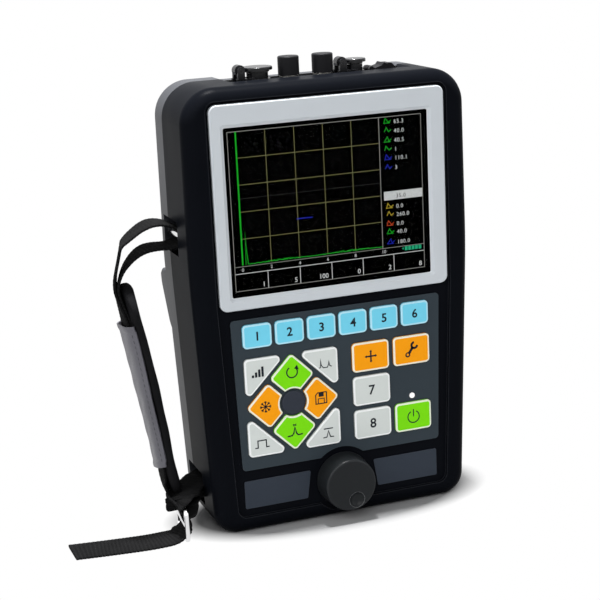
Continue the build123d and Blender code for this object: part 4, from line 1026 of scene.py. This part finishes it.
def weave_group():
    """Webbing weave on the piece's own layout: fuzzy slanting threads over ribs, painted highlight on top,
    painted shade in grooves.
    """
    group, given, out = shader_group("webbing_weave", {
        "Color": mid_grey, "Roughness": 0.8, "Thread": 0.55 * mm, "Rib": rib_pitch * mm, "Depth": 0.8})
    layout = add_node(group, "ShaderNodeUVMap", uv_map="flat").outputs[0]
    flat = add_node(group, "ShaderNodeSeparateXYZ", {"Vector": layout}).outputs

    def wave(position, pitch):
        """A sine of this pitch that runs from 0 to 1."""
        angle = times(group, maths(group, "DIVIDE", position, pitch), 2 * math.pi)
        return plus(group, times(group, maths(group, "SINE", angle), 0.5), 0.5)

    slanting = wave(plus(group, flat["X"], times(group, flat["Y"], 0.6)), given["Thread"])
    crossing = wave(flat["Y"], given["Thread"])
    rib = wave(flat["Y"], given["Rib"])
    place = object_place(group)
    fuzz = noise(group, place, 2600.0, 4.0)
    worn = noise(group, place, 120.0, 4.0)
    height = plus(group, times(group, slanting, crossing), times(group, fuzz, 0.5))
    # Colour follows the height: painted highlight on the raised threads and ribs, painted shade in the
    # grooves
    ribbed = plus(group, times(group, height, 0.5), times(group, rib, 0.35))
    colour = shade(group, given["Color"], plus(group, ribbed, scaled(group, worn, 0.2, 0.8)))
    roughness = plus(group, given["Roughness"], scaled(group, fuzz, -0.1, 0.1))
    return put_out(group, out, colour, roughness, bumped(group, height, given["Depth"], 0.15 * mm))


webbing_weave = weave_group()
polyester = finish_of("black_webbing", (0.0080, 0.0080, 0.0083, 1.0), 0.78, webbing_weave, {"Depth": 0.9},
                      specular=0.02)
band_mesh, band_length = webbing("strap_band", band_route, tail_slant)
band = show("strap_band", band_mesh, polyester)
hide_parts("strap_webbing")
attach(band, "case")


# Anchor loop
# A short piece of the same webbing. It goes round the lower pin and the buckle's top bar and is sewn to
# itself.
anchor_route = [
    (-79.0, 0.2, 17.4, 4), (-74.5, 4.6, 17.0, 3), (-70.6, 8.0, 16.6, 1), (-67.2, 9.0, 16.35, 0),
    (-64.6, 9.0, 19.5, 0), (-67.2, 9.0, 22.65, 0), (-70.8, 8.0, 22.3, 1), (-75.2, 4.4, 21.4, 3),
    (-79.8, -1.0, 20.6, 4), (-83.4, -7.0, 19.8, 5), (-86.2, -11.6, 19.1, 5), (-88.5, -12.4, 16.8, 5),
    (-86.4, -12.0, 14.5, 5), (-83.2, -7.6, 15.4, 5), (-80.2, -2.4, 16.6, 5),
]
anchor_mesh, anchor_length = webbing("anchor_band", anchor_route)
anchor = show("anchor_band", anchor_mesh, polyester)
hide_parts("anchor_webbing")
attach(anchor, "case")


# Grip pad
# A neoprene pad with a knitted face, die-cut with round ends, that leans out at its head. It bears on the
# hand.
pad_route = on_middle([
    (-83.2, 14.5, 4), (-86.9, 34.0, 4), (-90.3, 60.0, 3), (-94.6, 87.0, 1), (-98.1, 106.0, 1),
    (-100.1, 118.0, 2), (-101.3, 126.0, 3), (-102.0, 133.0, 4),
])
pad_step = 0.9
pad_width = 30.0
pad_thickness = 5.6
pad_round = 13.0
pad_sides = 44
edge_reach = 2.2
quilt_pitch = 26.0


def pad_mesh():
    """A closed pillow carried along a line, its width following a quarter circle down to nothing at each end.

    thickness(v) = full thickness (v / reach)^0.45 near an end, so that the die-cut edge stays full."""
    line, run, along, across, through = framed(pad_route, pad_step)
    from_end = np.minimum(run, run[-1] - run)
    reach = np.clip(from_end / pad_round, 0, 1)
    quarter = np.sqrt(np.maximum(1 - (1 - reach) ** 2, 0))
    half = quarter * pad_round + (pad_width / 2 - pad_round) * reach ** 0.5
    full = np.clip(from_end / edge_reach, 0, 1) ** 0.45
    section_across, section_through = flat_section(2.0, 1.0, pad_sides, power=3.4)
    crowned = section_through * (1 + 0.10 * (1 - section_across ** 2))
    quilt = 1 - 0.05 * np.cos(2 * math.pi * run / quilt_pitch)
    points = carried(line, across, through, section_across * half[:, None],
                     crowned * (pad_thickness * full * quilt)[:, None])
    return tube("grip_cushion", points, section_across * pad_width / 2, run)


def cell_distance(tree, pitch, inputs=None, **settings):
    """Distances within a pattern of cells this far apart."""
    place = {"Vector": object_place(tree), "Scale": maths(tree, "DIVIDE", 1.0, pitch)}
    return add_node(tree, "ShaderNodeTexVoronoi", {**place, **(inputs or {})}, **settings).outputs["Distance"]


def knit_group():
    """Knitted neoprene: small stitches as bump, lint and a slow change of tone, with painted shade in the
    stitch hollows.
    """
    group, given, out = shader_group("knit_face", {"Color": mid_grey, "Roughness": 0.85, "Stitch": 0.7 * mm})
    stitch = cell_distance(group, given["Stitch"], {"Randomness": 0.55})
    place = object_place(group)
    lint = noise(group, place, 3000.0, 3.0)
    slow = noise(group, place, 60.0, 4.0)
    height = plus(group, times(group, stitch, -1.0), times(group, lint, 0.6))
    # Colour follows the height: the lint shows paler, and the hollows between stitches get painted shade
    light = plus(group, scaled(group, slow, 0.6, 1.3), times(group, height, 0.5))
    roughness = plus(group, given["Roughness"], scaled(group, slow, -0.1, 0.08))
    normal = bumped(group, height, 0.7, 0.18 * mm)
    return put_out(group, out, shade(group, given["Color"], light), roughness, normal)


neoprene = finish_of("neoprene", (0.0095, 0.0095, 0.0105, 1.0), 0.86, knit_group(), {}, specular=0.03)
cushion = show("grip_cushion", pad_mesh(), neoprene)
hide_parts("grip_pad")
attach(cushion, "case")


# Grip sleeve
# Grey-black vinyl sewn down both long sides of the pad, over the webbing, with a folded hem at each end and
# a row of stitches along each side. It creases a little where the hand bends it.
sleeve_route = on_middle([
    (-88.9, 32.3, 4), (-91.5, 50.0, 3), (-94.8, 70.0, 2), (-98.2, 91.0, 0), (-101.9, 112.0, -1),
])
sleeve_step = 0.7
sleeve_columns = 37
sleeve_width = 28.6
sleeve_rise = 3.7
sleeve_slants = (8.6, 3.4)
sleeve_sheet = 0.9
broad_crease, fine_crease = 0.16, 0.10
hem_height, hem_width = 0.5, 3.0


def sleeve_frames(step):
    """The seam line, its run, its along and across directions, and the direction in towards the case."""
    line, run, along, across, through = framed(sleeve_route, step)
    return line, run, along, across, np.where(through[:, :1] > 0, through, -through)


def sleeve_surface(u, line, run, along, across, inward):
    """Height over the seam line: rise (1 - |u|^5), plus slanting creases that fade at the seams and the ends.

    The rear side sits lower than the front one: by the first slant at the bottom, the second at the top."""
    run_down = run[:, None]
    fade = np.clip(np.minimum(run_down, run[-1] - run_down) / 8.0, 0, 1)
    slant = run_down / 4.7 + 2.3 * u
    crease = (broad_crease * np.sin(slant) * np.sin(run_down / 11.3 + 1.0)
              + fine_crease * np.sin(slant * 2.3 + 0.7))
    height = sleeve_rise * (1 - np.abs(u) ** 5) + crease * fade * (1 - u ** 2) ** 0.5
    half = sleeve_width / 2 * (1 - 0.012 * np.sin(run_down / 6.0))
    drop = np.linspace(*sleeve_slants, len(run))[:, None] * u / 2
    return carried(line, across, inward, u * half, -height) - along[:, None, :] * drop[..., None]


def sleeve_mesh():
    """The sheet, lifted at each end by its folded hem: hem(v) = height exp(-(v / width)^6) from the end."""
    frames = sleeve_frames(sleeve_step)
    run, inward = frames[1], frames[-1]
    u = np.sin(np.linspace(-math.pi / 2, math.pi / 2, sleeve_columns))
    hem = hem_height * np.exp(-((np.minimum(run, run[-1] - run) / hem_width) ** 6))
    points = sleeve_surface(u, *frames) - inward[:, None, :] * hem[:, None, None]
    mesh = grid_mesh("grip_cover", points * mm)
    map_surface(mesh, u * sleeve_width / 2, run)
    return mesh, run[-1] * mm


def vinyl_group():
    """Coated vinyl: pebbled leather grain, fine creases, worn patches of gloss and tone, and painted shade in
    the crevices between pebbles.
    """
    group, given, out = shader_group("vinyl_grain", {"Color": mid_grey, "Roughness": 0.5, "Pebble": 0.8 * mm})
    pebble = cell_distance(group, given["Pebble"], feature="DISTANCE_TO_EDGE")
    place = object_place(group)
    crease = noise(group, place, 210.0, 6.0, Distortion=1.5)
    wear_and_edge_highlight = noise(group, place, 45.0, 4.0)
    height = plus(group, times(group, pebble, 1.4), times(group, crease, 0.9))
    # The worn patches vary the tone at random; the pebble tops are painted lighter and their crevices darker
    # as painted shade
    light = plus(group, scaled(group, wear_and_edge_highlight, 0.7, 1.25), times(group, pebble, 0.3))
    roughness = plus(group, given["Roughness"], scaled(group, wear_and_edge_highlight, -0.12, 0.1))
    normal = bumped(group, height, 0.55, 0.2 * mm)
    return put_out(group, out, shade(group, given["Color"], light), roughness, normal)


vinyl = finish_of("grey_vinyl", (0.095, 0.093, 0.108, 1.0), 0.46, vinyl_group(), {}, specular=0.3)
cover_mesh, cover_length = sleeve_mesh()
cover = show("grip_cover", cover_mesh, vinyl)
thicken = cover.modifiers.new("sheet", "SOLIDIFY")
thicken.thickness = sleeve_sheet * mm
thicken.offset = 0.0
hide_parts("grip_sleeve")
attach(cover, "case")

stitch_pitch = 3.1
stitch_share = 0.72
stitch_inset = 1.5
stitch_step = 0.31
stitch_rings, stitch_sides = 7, 6
thread_radius = 0.26
thread_end = 0.04


def stitch_mesh():
    """Two rows of thread: each stitch is a short tube, radius(t) = thread_radius sin(pi t)^0.4 along it."""
    frames = sleeve_frames(stitch_step)
    run, across, inward = frames[1], frames[3], frames[4]
    seam = np.array([-1.0, 1.0]) * (1 - stitch_inset * 2 / sleeve_width)
    rows = sleeve_surface(seam, *frames) - inward[:, None, :] * (sleeve_sheet / 2 + 0.05)
    starts = np.arange(3.0, run[-1] - 4.0, stitch_pitch)
    part = np.linspace(0, 1, stitch_rings)
    angle = np.linspace(0, 2 * math.pi, stitch_sides, endpoint=False)
    swell = np.sin(part * math.pi) ** 0.4 * thread_radius
    swell[[0, -1]] = thread_end
    place = (starts[:, None] + part * stitch_pitch * stitch_share).ravel()
    radius = np.tile(swell, len(starts))[:, None]

    def there(values):
        """The values of a line's points at the places of the rings."""
        return np.stack([np.interp(place, run, column) for column in values.T], axis=1)

    rings = [carried(there(rows[:, side]), there(across), -there(inward), radius * np.cos(angle),
                     radius * np.sin(angle)) for side in range(2)]
    i, j = np.meshgrid(np.arange(stitch_rings - 1), np.arange(stitch_sides), indexing="ij")
    near, far, right = i * stitch_sides, (i + 1) * stitch_sides, (j + 1) % stitch_sides
    quads = np.stack([near + j, near + right, far + right, far + j], axis=-1).reshape(1, -1, 4)
    faces = quads + stitch_rings * stitch_sides * np.arange(2 * len(starts))[:, None, None]
    mesh = bpy.data.meshes.new("grip_stitches")
    mesh.from_pydata((np.concatenate(rings).reshape(-1, 3) * mm).tolist(), [], faces.reshape(-1, 4).tolist())
    face_out(mesh)
    return mesh


thread = moulded("sewing_thread", (0.045, 0.045, 0.05, 1.0), 0.7, depth=0.5, mottle=0.2, grain=0.25 * mm)
stitches = show("grip_stitches", stitch_mesh(), thread)
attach(stitches, "case")


# Rear
# A folding stand and the battery cover with its two screws, both of the case's plastic with moulded grooves.
# Behind the cover lies the battery pack in its film, and on the main board a small black beeper.
dress(bare_plastic, "rear_stand", "battery_cover")
battery_film = moulded("battery_film", (0.03, 0.07, 0.16, 1.0), 0.35, depth=0.3, mottle=0.1, grain=1.2 * mm)
part_black = moulded("part_black", (0.012, 0.012, 0.012, 1.0), 0.4, depth=0.3, mottle=0.2)
dress(battery_film, "battery_pack")
dress(part_black, "beeper")
